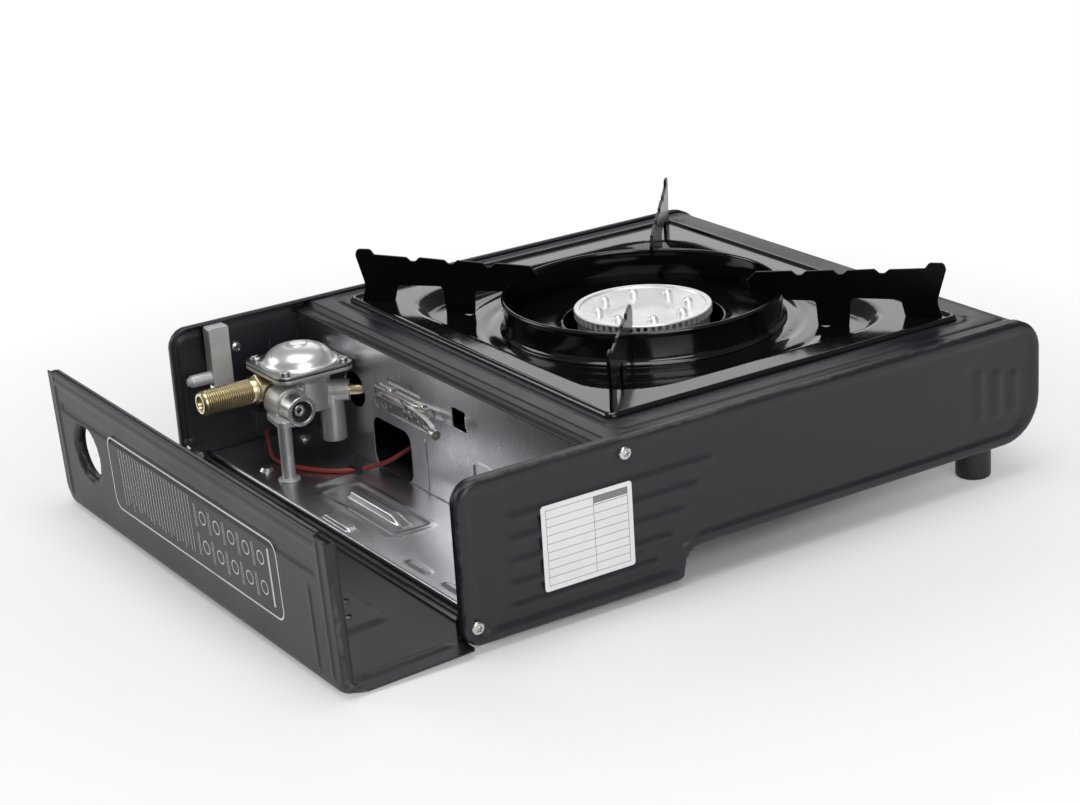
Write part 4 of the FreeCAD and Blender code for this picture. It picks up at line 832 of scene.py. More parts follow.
print("making the top plate and tray")
topPlate = {
    "top": 75.95, "ledge": 73.0, "ledgeX": 8.0, "stepX": (1.2, -0.6), "stepBend": 1.6,
    "endX": -244.05, "endBend": 14.05, "endLow": 45.9, "halfY": 139.05, "sheet": 0.8, "cell": 3.0,
    "opening": 5.0,   # the plate reaches this far under the tray
    "beadX": (-9.5, -235.5), "beadY": 130.5, "beadCentre": 1.2, "evenX": (-3.0, -229.0),
    "cutsBeside": (-3.4, -2.6, -1.8, -1.0, 0.0, 1.0, 1.8, 2.6, 3.4),
    "bead": {"inset": 9.5, "width": 2.6, "height": 0.5, "radius": 7.0},
    "trayBead": {"inset": 4.6, "width": 2.4, "height": 0.45, "radius": 8.0},
}
tray = {
    "x": -116.0, "y": -2.6, "halfX": 101.0, "halfY": 118.0, "corner": 5.0,
    "flat": 76.75, "sheet": 0.8, "near": (0.4, 0.9, 1.4, 1.9, 2.5, 3.1, 3.8),
    "rim": {"width": 3.6, "height": 1.5},
    "recess": {"halfX": 86.0, "halfY": 100.0, "radius": 35.0, "depth": 5.95, "slope": 8.5},
    "pocket": {"distance": 96.5, "radius": 17.5, "blend": 7.0},
    "rings": ((77.5, 4.2, 0.75), (90.5, 3.4, 0.5)),
    "collar": {"radius": 39.6, "rise": 1.6, "reach": 3.4},
    "cell": 1.55,
}
supportAngles = [math.atan2(b * tray["halfY"], a * tray["halfX"])
                 for a, b in ((1, 1), (-1, 1), (-1, -1), (1, -1))]


def addTopPlate():
    p = topPlate
    line = bentLine([
        (p["ledgeX"], p["ledge"], 0), (p["stepX"][0], p["ledge"], p["stepBend"]),
        (p["stepX"][1], p["top"], p["stepBend"]), (p["endX"], p["top"], p["endBend"]),
        (p["endX"], p["endLow"], 0)])
    length = line[1][-1]
    outline = [Vector(c[:2]) for c in boxCorners((length / 2, 0), (length / 2, p["halfY"]), 0)]
    opening = [runAtX(line, tray["x"] + side * (tray["halfX"] - p["opening"])) for side in (1, -1)]
    spot = ((opening[0] + opening[1]) / 2, tray["y"])
    half = ((opening[1] - opening[0]) / 2, tray["halfY"] - p["opening"])
    uCuts = line[1][1:-1] + evenCuts(*(runAtX(line, x) for x in p["evenX"]), p["cell"])
    for x in (*p["beadX"], tray["x"] + tray["halfX"], tray["x"] - tray["halfX"]):
        uCuts += [runAtX(line, x + d) for d in p["cutsBeside"]]
    vCuts = evenCuts(-p["halfY"], p["halfY"], p["cell"])
    for y in (-p["beadY"], p["beadY"], tray["y"] - tray["halfY"], tray["y"] + tray["halfY"]):
        vCuts += [y + d for d in p["cutsBeside"]]
    bm = cutSheet(outline, [roundedPoints(boxCorners(spot, half, tray["corner"]))], uCuts, vCuts)
    beadFrom, beadTo = (runAtX(line, x) for x in p["beadX"])
    middle, halfBead = (beadFrom + beadTo) / 2, (beadTo - beadFrom) / 2
    ring = p["trayBead"]
    ringHalf = [size + p["opening"] + ring["inset"] for size in half]

    def height(u, v):
        bead = p["bead"]
        away = abs(roundBox(u, v, (middle, 0), (halfBead, p["beadY"]), bead["radius"])
                   + p["beadCentre"])
        lift = bead["height"] * ease(1 - away / bead["width"])
        away = abs(roundBox(u, v, spot, ringHalf, ring["radius"]))
        edge = p["halfY"] - abs(v)
        lift += ring["height"] * ease(1 - away / ring["width"]) * ease((edge - bead["inset"]) / 3)
        return lift, 0.3 * ease(lift / bead["height"])

    def place(u, v, lift):
        x, z = onLine(line, u, lift)
        return x, v, z

    pressSheet(bm, height, place)
    piece = addPiece("topPlate", bm, "black_paint", "top_plate")
    faceToward(piece, 2)
    addThickness(piece, p["sheet"])


def faceToward(piece, axis):
    # turns an open sheet over where most of it faces down that axis
    faces = piece.data.polygons
    if sum(face.normal[axis] * face.area for face in faces) < 0:
        piece.data.flip_normals()


def addTray():
    p = tray
    spot = (p["x"], p["y"])
    outline = roundedPoints(boxCorners(spot, (p["halfX"], p["halfY"]), p["corner"]))
    cuts = []
    for centre, half in ((p["x"], p["halfX"]), (p["y"], p["halfY"])):
        inner = half - p["near"][-1]
        cuts.append(evenCuts(centre - inner, centre + inner, p["cell"])
                    + [centre + side * (half - d) for d in p["near"] for side in (-1, 1)])
    bm = cutSheet(outline, [circlePoints(spot, p["collar"]["radius"], 72)], *cuts)
    rim, recess, pocket, collar = p["rim"], p["recess"], p["pocket"], p["collar"]

    def height(x, y):
        edge = -roundBox(x, y, spot, (p["halfX"], p["halfY"]), p["corner"])
        lift = 0.0
        if edge > 1e-6:
            lift = rim["height"] * math.sin(math.pi * min(edge / rim["width"], 1.0)) ** 0.8
        rubbed = 0.5 * ease(1 - abs(edge - rim["width"] / 2) / 1.4)
        hollow = roundBox(x, y, spot, (recess["halfX"], recess["halfY"]), recess["radius"])
        for angle in supportAngles:
            lobe = math.hypot(x - p["x"] - pocket["distance"] * math.cos(angle),
                              y - p["y"] - pocket["distance"] * math.sin(angle)) - pocket["radius"]
            mixed = min(max(0.5 + 0.5 * (hollow - lobe) / pocket["blend"], 0.0), 1.0)
            hollow += (lobe - hollow) * mixed - pocket["blend"] * mixed * (1 - mixed)
        lift -= recess["depth"] * ease(-hollow / recess["slope"])
        away = math.hypot(x - p["x"], y - p["y"])
        for ringAt, width, deep in p["rings"]:
            inHollow = ease((-hollow - recess["slope"]) / 3 + 1)
            lift -= deep * ease(1 - abs(away - ringAt) / width) * inHollow
        lift += collar["rise"] * ease(1 - (away - collar["radius"]) / collar["reach"])
        return lift, rubbed

    def place(x, y, lift):
        return x, y, p["flat"] + lift

    def isRim(x, y):
        return abs(roundBox(x, y, spot, (p["halfX"], p["halfY"]), p["corner"])) < 0.05

    pressSheet(bm, height, place, {"chosen": isRim, "depth": p["sheet"]})
    addThickness(addPiece("dripTray", bm, "black_enamel", "drip_tray"), p["sheet"])


addTopPlate()
addTray()

print("making the wind ring and pan supports")
windRing = {
    "radius": 68.5, "sheet": 1.0, "low": 70.8, "top": 87.0, "roll": 1.15, "steps": 128,
    # beyond the wall, above the ring's low edge
    "foot": ((1.9, 0.0), (2.1, 0.4), (1.6, 0.9), (0.5, 1.4), (0.1, 2.4), (0.0, 3.6)),
    "lipFrom": -0.9, "lipTurn": math.pi + 1.1, "lipSteps": 9,
}


def addWindRing():
    p = windRing
    outer, inner = p["radius"], p["radius"] - p["sheet"]
    lipSpot = (outer - 0.25, p["top"] - p["roll"])
    points = [(inner, p["low"])]
    points += [(outer + beyond, p["low"] + rise) for beyond, rise in p["foot"]]
    points.append((outer, p["top"] - 3.4))
    for k in range(p["lipSteps"] + 1):
        angle = p["lipFrom"] + k * p["lipTurn"] / p["lipSteps"]
        points.append((lipSpot[0] + p["roll"] * math.cos(angle),
                       lipSpot[1] + p["roll"] * math.sin(angle)))
    points += [(inner, p["top"] - 3.6), (inner, p["low"])]
    bm = spinProfile(points, (tray["x"], tray["y"], 0), steps=p["steps"])
    addPiece("windRing", bm, "black_enamel", "wind_ring")


addWindRing()
for number in "1234":
    dressNode("pan_support_" + number, "panSupport" + number, "support_enamel", 0.42, 3)

print("making the burner")
burnerCap = {
    "x": -116.0, "y": -2.6, "radius": 34.0, "top": 78.5, "seat": 74.5, "slots": 60,
    "toothTop": 77.6, "toothShare": 0.46, "toothInner": 29.5,
    # radius, height below the top
    "face": ((34.0, 0.9), (34.0, 0.4), (33.85, 0.15), (33.6, 0.03), (33.2, 0.0), (31.6, 0.0),
             (31.2, 0.1), (30.9, 0.5), (30.6, 1.4), (30.0, 1.9), (27.0, 2.6), (22.0, 3.6),
             (17.5, 4.5), (16.2, 4.75), (15.6, 5.0), (9.0, 5.05), (0.0, 5.05)),
    "under": (13.0, 5.8), "toothOverlap": 0.1, "rings": 128,
    "ports": 8, "portAt": 22.6, "portDrop": 4.4, "portRadius": 2.7, "portRise": 5.6, "portHole": 0.8,
}


def addBurnerCap():
    p = burnerCap
    spot = Vector((p["x"], p["y"], 0))
    points = [(radius, p["top"] - drop) for radius, drop in p["face"]][::-1]
    underRadius, underDrop = p["under"]
    points += [(p["toothInner"], p["toothTop"]), (underRadius, p["top"] - underDrop),
               (0.0, p["top"] - underDrop)]
    bm = spinProfile(points, spot, steps=p["rings"])
    teeth = bmesh.new()
    step = math.tau / p["slots"]
    half = step * p["toothShare"] / 2
    tooth = ((p["toothInner"], -half), (p["radius"] - 0.05, -half), (p["radius"], 0.0),
             (p["radius"] - 0.05, half), (p["toothInner"], half))
    for k in range(p["slots"]):
        corners = []
        for radius, turn in tooth:
            angle = k * step + turn
            corners.append(teeth.verts.new(
                spot + Vector((radius * math.cos(angle), radius * math.sin(angle), p["seat"]))))
        raised = bmesh.ops.extrude_face_region(teeth, geom=[teeth.faces.new(corners)])
        rise = p["toothTop"] + p["toothOverlap"] - p["seat"]
        bmesh.ops.translate(teeth, vec=(0, 0, rise), verts=vertsOf(raised))
    bmesh.ops.recalc_face_normals(teeth, faces=teeth.faces)
    joinInto(bm, teeth)
    wide, rise, hole = p["portRadius"], p["portRise"], p["portHole"]
    profile = [(wide + 0.4, -0.8), (wide + 0.1, 0.1), (wide, 0.6), (wide - 0.1, rise * 0.66),
               (wide * 0.86, rise * 0.8), (wide * 0.62, rise * 0.92), (hole, rise),
               (hole - 0.15, rise - 1.2), (0.0, rise - 1.3)]
    for k in range(p["ports"]):
        angle = (k + 0.5) * math.tau / p["ports"]
        at = spot + Vector((p["portAt"] * math.cos(angle), p["portAt"] * math.sin(angle),
                            p["top"] - p["portDrop"]))
        joinInto(bm, spinProfile(profile, (0, 0, 0), steps=20), Matrix.Translation(at))
    piece = addPiece("burnerCap", bm, "bright_aluminium", "burner_cap")
    keepSharp(piece, 38.0)


addBurnerCap()

print("making the lid")
lid = {
    "free": 9.0, "top": 77.9, "side": 81.0, "bend": 5.0, "lip": 3.0, "lipBend": 1.6, "lipEnd": 4.1,
    "foot": 14.5, "tongue": 6.8,
    "reach": 142.2, "sideReach": 141.6, "lipReach": 133.1, "tongueReach": 132.8, "corner": 6.0,
    "flange": 5.0, "sideFlange": 0.9, "roll": 1.5, "cornerRoll": 5.5, "sheet": 0.8, "cell": 2.2,
    "hinge": (72.0, 11.9), "angle": 92.4,
    "hole": {"x": 44.0, "y": -105.0, "radius": 13.0, "roll": 2.0, "collar": 5.0},
    # centre x, centre y, half width, half length, height, edge of each pressing in the top
    "pressings": (
        (15.0, 0.0, 2.6, 134.5, 0.55, 2.2),
        (26.5, 0.0, 3.4, 131.5, -0.85, 2.2),
        (43.0, -134.5, 31.5, 2.1, 0.6, 1.9),
        (43.0, 134.5, 31.5, 2.1, 0.6, 1.9),
        (54.8, 122.0, 19.5, 2.1, 0.6, 1.9),
    ),
    "pad": {"z": 42.0, "halfZ": 16.0, "halfY": 90.0, "height": 0.9, "radius": 4.0},
    "sideBeads": {"y": (-130.0, 130.0), "longer": 6.0, "half": 2.2, "depth": 0.9},
    "pressSlope": 1.6,
    "vents": ((61.0, 34.0), (76.0, 41.0)), "ventRadius": 2.3,
    # lines across the lid that get closer cuts, and the distances of those cuts
    "beadY": (-134.5, 122.0, 134.5), "cutsBeside": (-2.1, -1.6, -1.1, -0.6, 0.0, 0.6, 1.1, 1.6, 2.1),
    "near": (0.3, 0.7, 1.2, 1.8),
    "earY": 129.5, "ear": ((72.0, 7.4), (80.6, 7.4), (80.6, 16.9)), "earRadius": 5.0,
}
lidSwing = Matrix.Rotation(math.radians(lid["angle"]), 3, "Y")
lidHinge = Vector((lid["hinge"][0], 0.0, lid["hinge"][1]))


def openLid(*spot):
    # where a point of the closed lid lies once the lid is open
    return lidHinge + lidSwing @ (Vector(spot) - lidHinge)


def addLid():
    p = lid
    line = bentLine([(p["free"], p["top"] - p["lip"], 0), (p["free"], p["top"], p["lipBend"]),
                     (p["side"], p["top"], p["bend"]), (p["side"], p["tongue"], 0)])
    length = line[1][-1]

    def runAtZ(z):
        return length - (z - p["tongue"])

    lipEnd = p["lipEnd"]
    bendStart = runAtX(line, p["side"] - p["bend"])
    bendEnd = runAtZ(p["top"] - p["bend"])
    middleBend = (bendStart + bendEnd) / 2
    foot = runAtZ(p["foot"])
    half = [(0.0, p["lipReach"], 0), (lipEnd, p["lipReach"], 0), (lipEnd, p["reach"], 1.2),
            (bendStart, p["reach"], 0), (bendEnd, p["sideReach"], 0),
            (foot, p["sideReach"], 3.0), (foot, p["tongueReach"], 0), (length, p["tongueReach"], 2.0)]
    corners = half + [(u, -v, r) for u, v, r in half[::-1]]
    outline = roundedPoints(corners)
    holeRun = runAtX(line, p["hole"]["x"])
    holes = [circlePoints((holeRun, p["hole"]["y"]), p["hole"]["radius"], 72)]
    holes += [circlePoints((runAtZ(z), y), p["ventRadius"], 20) for y, z in p["vents"]]
    pressings = [(runAtX(line, x), y, a, b, rise, width) for x, y, a, b, rise, width in p["pressings"]]
    uCuts = line[1][1:-1] + evenCuts(4.0, length, p["cell"])
    for run, y, a, b, rise, width in pressings:
        if b > a:
            uCuts += [run + side * (a - width * k / 4) for k in range(4) for side in (-1, 1)]
    vCuts = evenCuts(-p["reach"], p["reach"], p["cell"])
    vCuts += [y + d for y in p["beadY"] for d in p["cutsBeside"]]
    vCuts += [side * (p["reach"] - d) for d in p["near"] for side in (-1, 1)]
    bm = cutSheet(outline, holes, sorted(set(uCuts)), sorted(set(vCuts)))
    pad, beads = p["pad"], p["sideBeads"]

    def height(u, v):
        nearBend = ease(1.0 - abs(u - middleBend) / 10.0)
        pastBend = ease((u - bendStart) / (bendEnd - bendStart))
        widest = p["reach"] + (p["sideReach"] - p["reach"]) * pastBend
        edge = max(widest - abs(v), 0.0) if u > lipEnd else 9.0
        roll = p["roll"] * (0.5 if u > bendEnd + 5 else 1.0)
        lift = -rounding(edge, roll + p["cornerRoll"] * nearBend)
        rubbed = 0.9 * ease(1 - edge / 2.0) + 0.6 * ease(1 - abs(u - 3.2) / 1.6)
        rubbed += 0.5 * ease(1 - abs(u - middleBend) / 3.0)
        for run, y, a, b, rise, width in pressings:
            inside = -roundBox(u, v, (run, y), (a, b), min(a, b))
            if inside > 0:
                lift += rise * ease(inside / width)
                rubbed += 0.3 * ease(1 - abs(inside - width) / 0.8) if rise > 0 else 0.0
        fromHole = math.hypot(u - holeRun, v - p["hole"]["y"]) - p["hole"]["radius"]
        lift -= rounding(fromHole, p["hole"]["roll"])
        inside = -roundBox(u, v, (runAtZ(pad["z"]), 0.0), (pad["halfZ"], pad["halfY"]), pad["radius"])
        lift -= pad["height"] * ease(inside / p["pressSlope"])
        for y in beads["y"]:
            half = (pad["halfZ"] + beads["longer"], beads["half"])
            inside = -roundBox(u, v, (runAtZ(pad["z"]), y), half, beads["half"])
            lift -= beads["depth"] * ease(inside / p["pressSlope"])
        return lift, rubbed

    def place(u, v, lift):
        x, z = onLine(line, u, lift)
        return openLid(x, v, z)

    def isEnd(u, v):
        return abs(v) > p["sideReach"] - 0.4 and lipEnd + 1.0 < u < foot - 3.5 and (
            borderDistance(outline, u, v, 1.0) < 0.02)

    def flangeDepth(u):
        return p["sideFlange"] + (p["flange"] - p["sideFlange"]) * ease((bendStart + 1.0 - u) / 4.0)

    pressSheet(bm, height, place, {"chosen": isEnd, "depth": flangeDepth})
    # the turned-in collar of the hole
    rim = [edge for edge in bm.edges if edge.is_boundary and edgeAtHole(edge, holeRun, place)]
    collar = bmesh.ops.extrude_edge_only(bm, edges=rim)
    away = lidSwing @ Vector((0, 0, -p["hole"]["collar"] + p["hole"]["roll"]))
    bmesh.ops.translate(bm, vec=away, verts=vertsOf(collar))
    bmesh.ops.recalc_face_normals(bm, faces=bm.faces)
    piece = addPiece("cartridgeLid", bm, "black_paint", "cartridge_lid")
    faceToward(piece, 0)
    addThickness(piece, p["sheet"])
    addLidEars()


def edgeAtHole(edge, holeRun, place):
    p = lid["hole"]
    centre = Vector(place(holeRun, p["y"], -p["roll"]))
    return all(abs((vert.co - centre).length - p["radius"]) < 0.6 for vert in edge.verts)


def addLidEars():
    p = lid
    hingeX, hingeZ = p["hinge"]
    points = list(p["ear"])
    for k in range(9):
        angle = quarter + k * math.pi / 8
        points.append((hingeX + p["earRadius"] * math.cos(angle),
                       hingeZ + p["earRadius"] * math.sin(angle)))
    bm = bmesh.new()
    for side in (-1, 1):
        ear = bmesh.new()
        face = ear.faces.new([ear.verts.new(openLid(x, side * p["earY"], z)) for x, z in points])
        raised = bmesh.ops.extrude_face_region(ear, geom=[face])
        bmesh.ops.translate(ear, vec=(0, side * p["sheet"], 0), verts=vertsOf(raised))
        bmesh.ops.recalc_face_normals(ear, faces=ear.faces)
        joinInto(bm, ear)
    addPiece("lidEars", bm, "black_paint", "cartridge_lid", smooth=False)


addLid()

print("making the regulator")
regulatorDome = {
    "x": 26.5, "y": -98.0, "low": 58.1, "flange": 1.2, "half": 21.0, "corner": 6.0,
    # radius and rise above the flange
    "crown": ((19.2, 0.0), (18.2, 0.15), (17.4, 0.7), (16.9, 1.7), (16.4, 2.9), (15.6, 4.1),
              (14.3, 5.4), (12.6, 6.5), (10.4, 7.4), (8.0, 8.05), (6.2, 8.35), (5.3, 8.45),
              (4.9, 8.75), (4.4, 9.1), (3.6, 9.2), (0.0, 9.2)),
}


def addRegulatorDome():
    p = regulatorDome
    bm = bmesh.new()
    ring = [bm.verts.new((u, v, p["low"])) for u, v in roundedPoints(
        boxCorners((p["x"], p["y"]), (p["half"], p["half"]), p["corner"]))]
    top = vertsOf(bmesh.ops.extrude_face_region(bm, geom=[bm.faces.new(ring)]))
    bmesh.ops.translate(bm, vec=(0, 0, p["flange"]), verts=top)
    bmesh.ops.recalc_face_normals(bm, faces=bm.faces)
    rim = [edge for edge in bm.edges if all(vert in top for vert in edge.verts)]
    bmesh.ops.bevel(bm, geom=rim, offset=0.5, segments=3, profile=0.5, affect="EDGES",
                    material=-1)
    crown = spinProfile([(radius, p["low"] + p["flange"] + rise) for radius, rise in p["crown"]],
                        (p["x"], p["y"], 0), steps=72)
    for face in bm.faces:
        face.material_index = 1
    joinInto(bm, crown)
    piece = addPiece("regulatorDome", bm, "polished_chrome", "regulator_dome")
    piece.data.materials.append(finishes["flange_plate"])
    keepSharp(piece, 40.0)


addRegulatorDome()

inlet = {
    "y": -105.0, "z": 47.2, "start": 48.5, "tip": 78.6, "radius": 6.2, "bore": 3.5, "boreDepth": 18.0,
    "threadFrom": 52.0, "threadTo": 76.8, "pitch": 1.15, "threadDepth": 0.42,
}
inletNut = {"start": 41.0, "length": 7.5, "halfFlats": 7.0, "chamfer": 0.45}


def addInlet():
    p = inlet
    points = [(0.0, 0.0), (p["radius"], 0.0), (p["radius"], p["threadFrom"] - p["start"] - 0.6)]
    along = p["threadFrom"] - p["start"]
    end = p["threadTo"] - p["start"]
    while along < end:
        points.append((p["radius"] - p["threadDepth"], along))
        points.append((p["radius"], along + p["pitch"] * 0.5))
        along += p["pitch"]
    full = p["tip"] - p["start"]
    points += [(p["radius"] - 0.3, full - 0.9), (p["radius"] - 1.1, full), (p["bore"] + 0.4, full),
               (p["bore"], full - 0.4), (p["bore"], full - p["boreDepth"]), (0.0, full - p["boreDepth"])]
    bm = spinProfile(points, (p["start"], p["y"], p["z"]), axis=(1, 0, 0), steps=40)
    piece = addPiece("lpgInlet", bm, "brass", "lpg_inlet")
    keepSharp(piece, 45.0)


def addInletNut():
    p = inletNut
    bm = bmesh.new()
    radius = p["halfFlats"] / math.cos(math.pi / 6)
    bmesh.ops.create_cone(bm, cap_ends=True, segments=6, radius1=radius, radius2=radius,
                          depth=p["length"])
    bmesh.ops.bevel(bm, geom=bm.edges[:], offset=p["chamfer"], segments=3, profile=0.5,
                    affect="EDGES", material=-1)
    turn = Matrix.Translation((p["start"] + p["length"] / 2, inlet["y"], inlet["z"]))
    turn = turn @ Matrix.Rotation(quarter, 4, "Y") @ Matrix.Rotation(quarter, 4, "Z")
    bmesh.ops.transform(bm, matrix=turn, verts=bm.verts)
    addPiece("lpgNut", bm, "brass", "lpg_nut")


sideScrew = {
    # radius, height above the panel, of a pan head with a six-lobed socket
    "head": ((3.1, -1.5), (3.15, -0.3), (3.0, 0.35), (2.5, 0.75), (1.75, 0.9), (1.55, 0.85),
             (1.45, 0.6), (1.4, -0.2), (1.2, -0.4), (0.0, -0.4)),
    "shank": 2.0, "sunk": 0.5, "panelLength": 9.0, "hingeLength": 12.5,
    "lobes": 6, "lobeShare": 0.14, "lobeRadii": (0.5, 1.6), "lobeLow": -0.5,
}


def addSideScrews(node, name, at, length):
    p = sideScrew
    bm = bmesh.new()
    points = [(0.0, -length), (p["shank"], -length), (p["shank"], p["head"][0][1]), *p["head"]]
    low, high = p["lobeRadii"]
    for side in (-1, 1):
        screw = spinProfile(points, (0, 0, 0), axis=(0, side, 0), steps=48)
        for vert in screw.verts:
            radius = math.hypot(vert.co.x, vert.co.z)
            if low < radius < high and side * vert.co.y > p["lobeLow"]:
                wave = p["lobeShare"] * math.cos(p["lobes"] * math.atan2(vert.co.z, vert.co.x))
                vert.co.x *= 1 + wave
                vert.co.z *= 1 + wave
        seat = (at[0], side * (panel["back"] - p["sunk"]), at[1])
        joinInto(bm, screw, Matrix.Translation(seat))
    piece = addPiece(name, bm, "plated_steel", node)
    keepSharp(piece, 40.0)


def sweepBox(path, halfWide, halfHigh):
    # a bar of rectangular section along a level path
    bm = bmesh.new()
    rings = []
    for k, point in enumerate(path):
        before, after = Vector(path[max(k - 1, 0)]), Vector(path[min(k + 1, len(path) - 1)])
        run = (after - before).normalized()
        out = Vector((run.y, -run.x, 0)) * halfWide
        rings.append([bm.verts.new(Vector(point) + out * a + Vector((0, 0, halfHigh * b)))
                      for a, b in ((-1, -1), (1, -1), (1, 1), (-1, 1))])
    for one, two in zip(rings, rings[1:]):
        for k in range(4):
            bm.faces.new((one[k - 1], one[k], two[k], two[k - 1]))
    bm.faces.new(rings[0])
    bm.faces.new(rings[-1][::-1])
    bmesh.ops.recalc_face_normals(bm, faces=bm.faces)
    return bm


hook = {
    "path": ((5.3, -34.0), (7.2, -27.0), (8.6, -19.0), (9.6, -11.0), (10.8, -3.0), (12.6, 5.0),
             (15.0, 12.0)),
    "railHeights": (50.6, 46.4), "railHalf": (1.1, 0.45), "rungHalf": (0.45, 1.7), "rungReach": 0.6,
    "eye": ((1.2, -2.0), (2.3, -2.0), (2.45, -1.7), (2.45, 1.7), (2.3, 2.0), (1.2, 2.0),
            (1.2, -2.0)),
    "eyeBeyond": (0.4, 1.6),
}


def hookRail():
    # the curved strip that stands off the bracket, two rails joined by rungs
    p = hook
    bm = bmesh.new()
    for z in p["railHeights"]:
        joinInto(bm, sweepBox([(x, y, z) for x, y in p["path"]], *p["railHalf"]))
    middle = sum(p["railHeights"]) / 2
    for x, y in p["path"][1:]:
        rung = [(x, y + side * p["rungReach"], middle) for side in (-1, 1)]
        joinInto(bm, sweepBox(rung, *p["rungHalf"]))
    x, y = (at + beyond for at, beyond in zip(p["path"][-1], p["eyeBeyond"]))
    joinInto(bm, spinProfile(p["eye"], (x, y, middle), axis=(0, 1, 0), steps=24))
    bmesh.ops.transform(bm, matrix=toPart, verts=bm.verts)
    return bm


addInlet()
addInletNut()
addSideScrews("panel_screws", "panelScrews", panel["dishes"][0], sideScrew["panelLength"])
addSideScrews("hinge_screws", "hingeScrews", panel["dishes"][1], sideScrew["hingeLength"])
print("dressing the CAD nodes that keep their form")
dressed = (
    # node, finish, width of its rounded edges in millimetres, steps across them
    ("regulator_body", "cast_alloy", 0.55, 3),
    ("cartridge_connector", "plated_steel", 0.5, 3),
    ("dome_screws", "plated_steel", 0.3, 2),
    ("lock_lever", "lever_plate", 0.5, 3),
    ("foot_posts", "black_plastic", 0.5, 3),
    ("control_knob", "black_plastic", 0.5, 3),
    ("lever_handle", "black_plastic", 0.6, 3),
    ("partition_wall", "galvanised_steel", 0.2, 2),
    ("partition_bracket", "spring_steel", 0.25, 2),
    ("bracket_fasteners", "plated_steel", 0.2, 2),
    ("regulator_post", "cast_alloy", 0.3, 2),
    ("base_pan", "black_paint", 0.25, 2),
    ("burner_body", "cast_alloy", 0.4, 2),
    ("cartridge_carrier", "galvanised_steel", 0.3, 2),
)
for nodeName, finish, width, segments in dressed:
    first, *others = nodeName.split("_")
    extra = hookRail() if nodeName == "partition_bracket" else None
    dressNode(nodeName, first + "".join(word.capitalize() for word in others), finish, width,
              segments, extra)

lead = {
    # points of the route, as in the part's source
    "points": ((43.0, -108.5, 25.0), (43.0, -108.5, 9.4), (42.5, -93.0, 9.7), (36.0, -78.5, 9.4),
               (25.5, -66.0, 9.1), (12.5, -58.5, 10.0), (8.0, -45.0, 16.4), (-3.0, -36.5, 25.4),
               (-22.0, -27.0, 33.9), (-81.98, 9.78, 32.9), (-81.98, 9.78, 50.0)),
    "radius": 1.1,
}


def addLead():
    p = lead
    curve = bpy.data.curves.new("ignitionLead", "CURVE")
    curve.dimensions = "3D"
    spline = curve.splines.new("NURBS")
    spline.points.add(len(p["points"]) - 1)
    for point, spot in zip(spline.points, p["points"]):
        point.co = (*(toPart @ Vector(spot)), 1.0)
    spline.order_u = 3
    spline.use_endpoint_u = True
    curve.bevel_depth = p["radius"] * 0.001
    curve.bevel_resolution = 4
    curve.resolution_u = 10
    curve.materials.append(finishes["red_insulation"])
    piece = addObject("ignitionLead", curve)
    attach(piece, bodyOf["ignition_lead"])
    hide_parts("ignition_lead")


addLead()

print("making the bay floor")
bayFloor = {
    "from": 5.0, "to": 61.5, "top": 8.0, "low": 4.75, "halfY": 139.05, "roll": 1.6, "sheet": 0.8,
    "across": 1.14, "along": 1.33, "frontCuts": (0.25, 0.6, 1.0, 1.5), "paintFrom": 2.0,
    "notch": (26.0, 53.0, 119.5, 138.95),
    # centre, half size, height, slope and the length of the far ramp of each raised lance
    "lances": (((34.5, -11.0), (3.4, 26.0), 3.2, 1.3, 11.0),
               ((56.6, -9.0), (3.3, 13.5), 2.1, 1.3, 4.0)),
    # centre, half size, radius, height and width of the raised frame
    "frame": ((35.0, -14.0), (12.5, 37.0), 5.0, 0.8, 2.4),
    # centre, half size, radius and height of each pad
    "pads": (((15.0, 60.0), (2.8, 10.0), 2.8, 0.9), ((15.0, 92.0), (2.8, 10.0), 2.8, 0.9),
             ((54.5, 60.0), (2.8, 10.0), 2.8, 0.9), ((54.5, 92.0), (2.8, 10.0), 2.8, 0.9),
             ((35.0, 110.0), (17.0, 11.0), 6.0, -0.7), ((30.0, -60.0), (14.0, 3.2), 3.2, 0.8)),
    "padSlope": 2.2, "lanceRadius": 0.4,
}


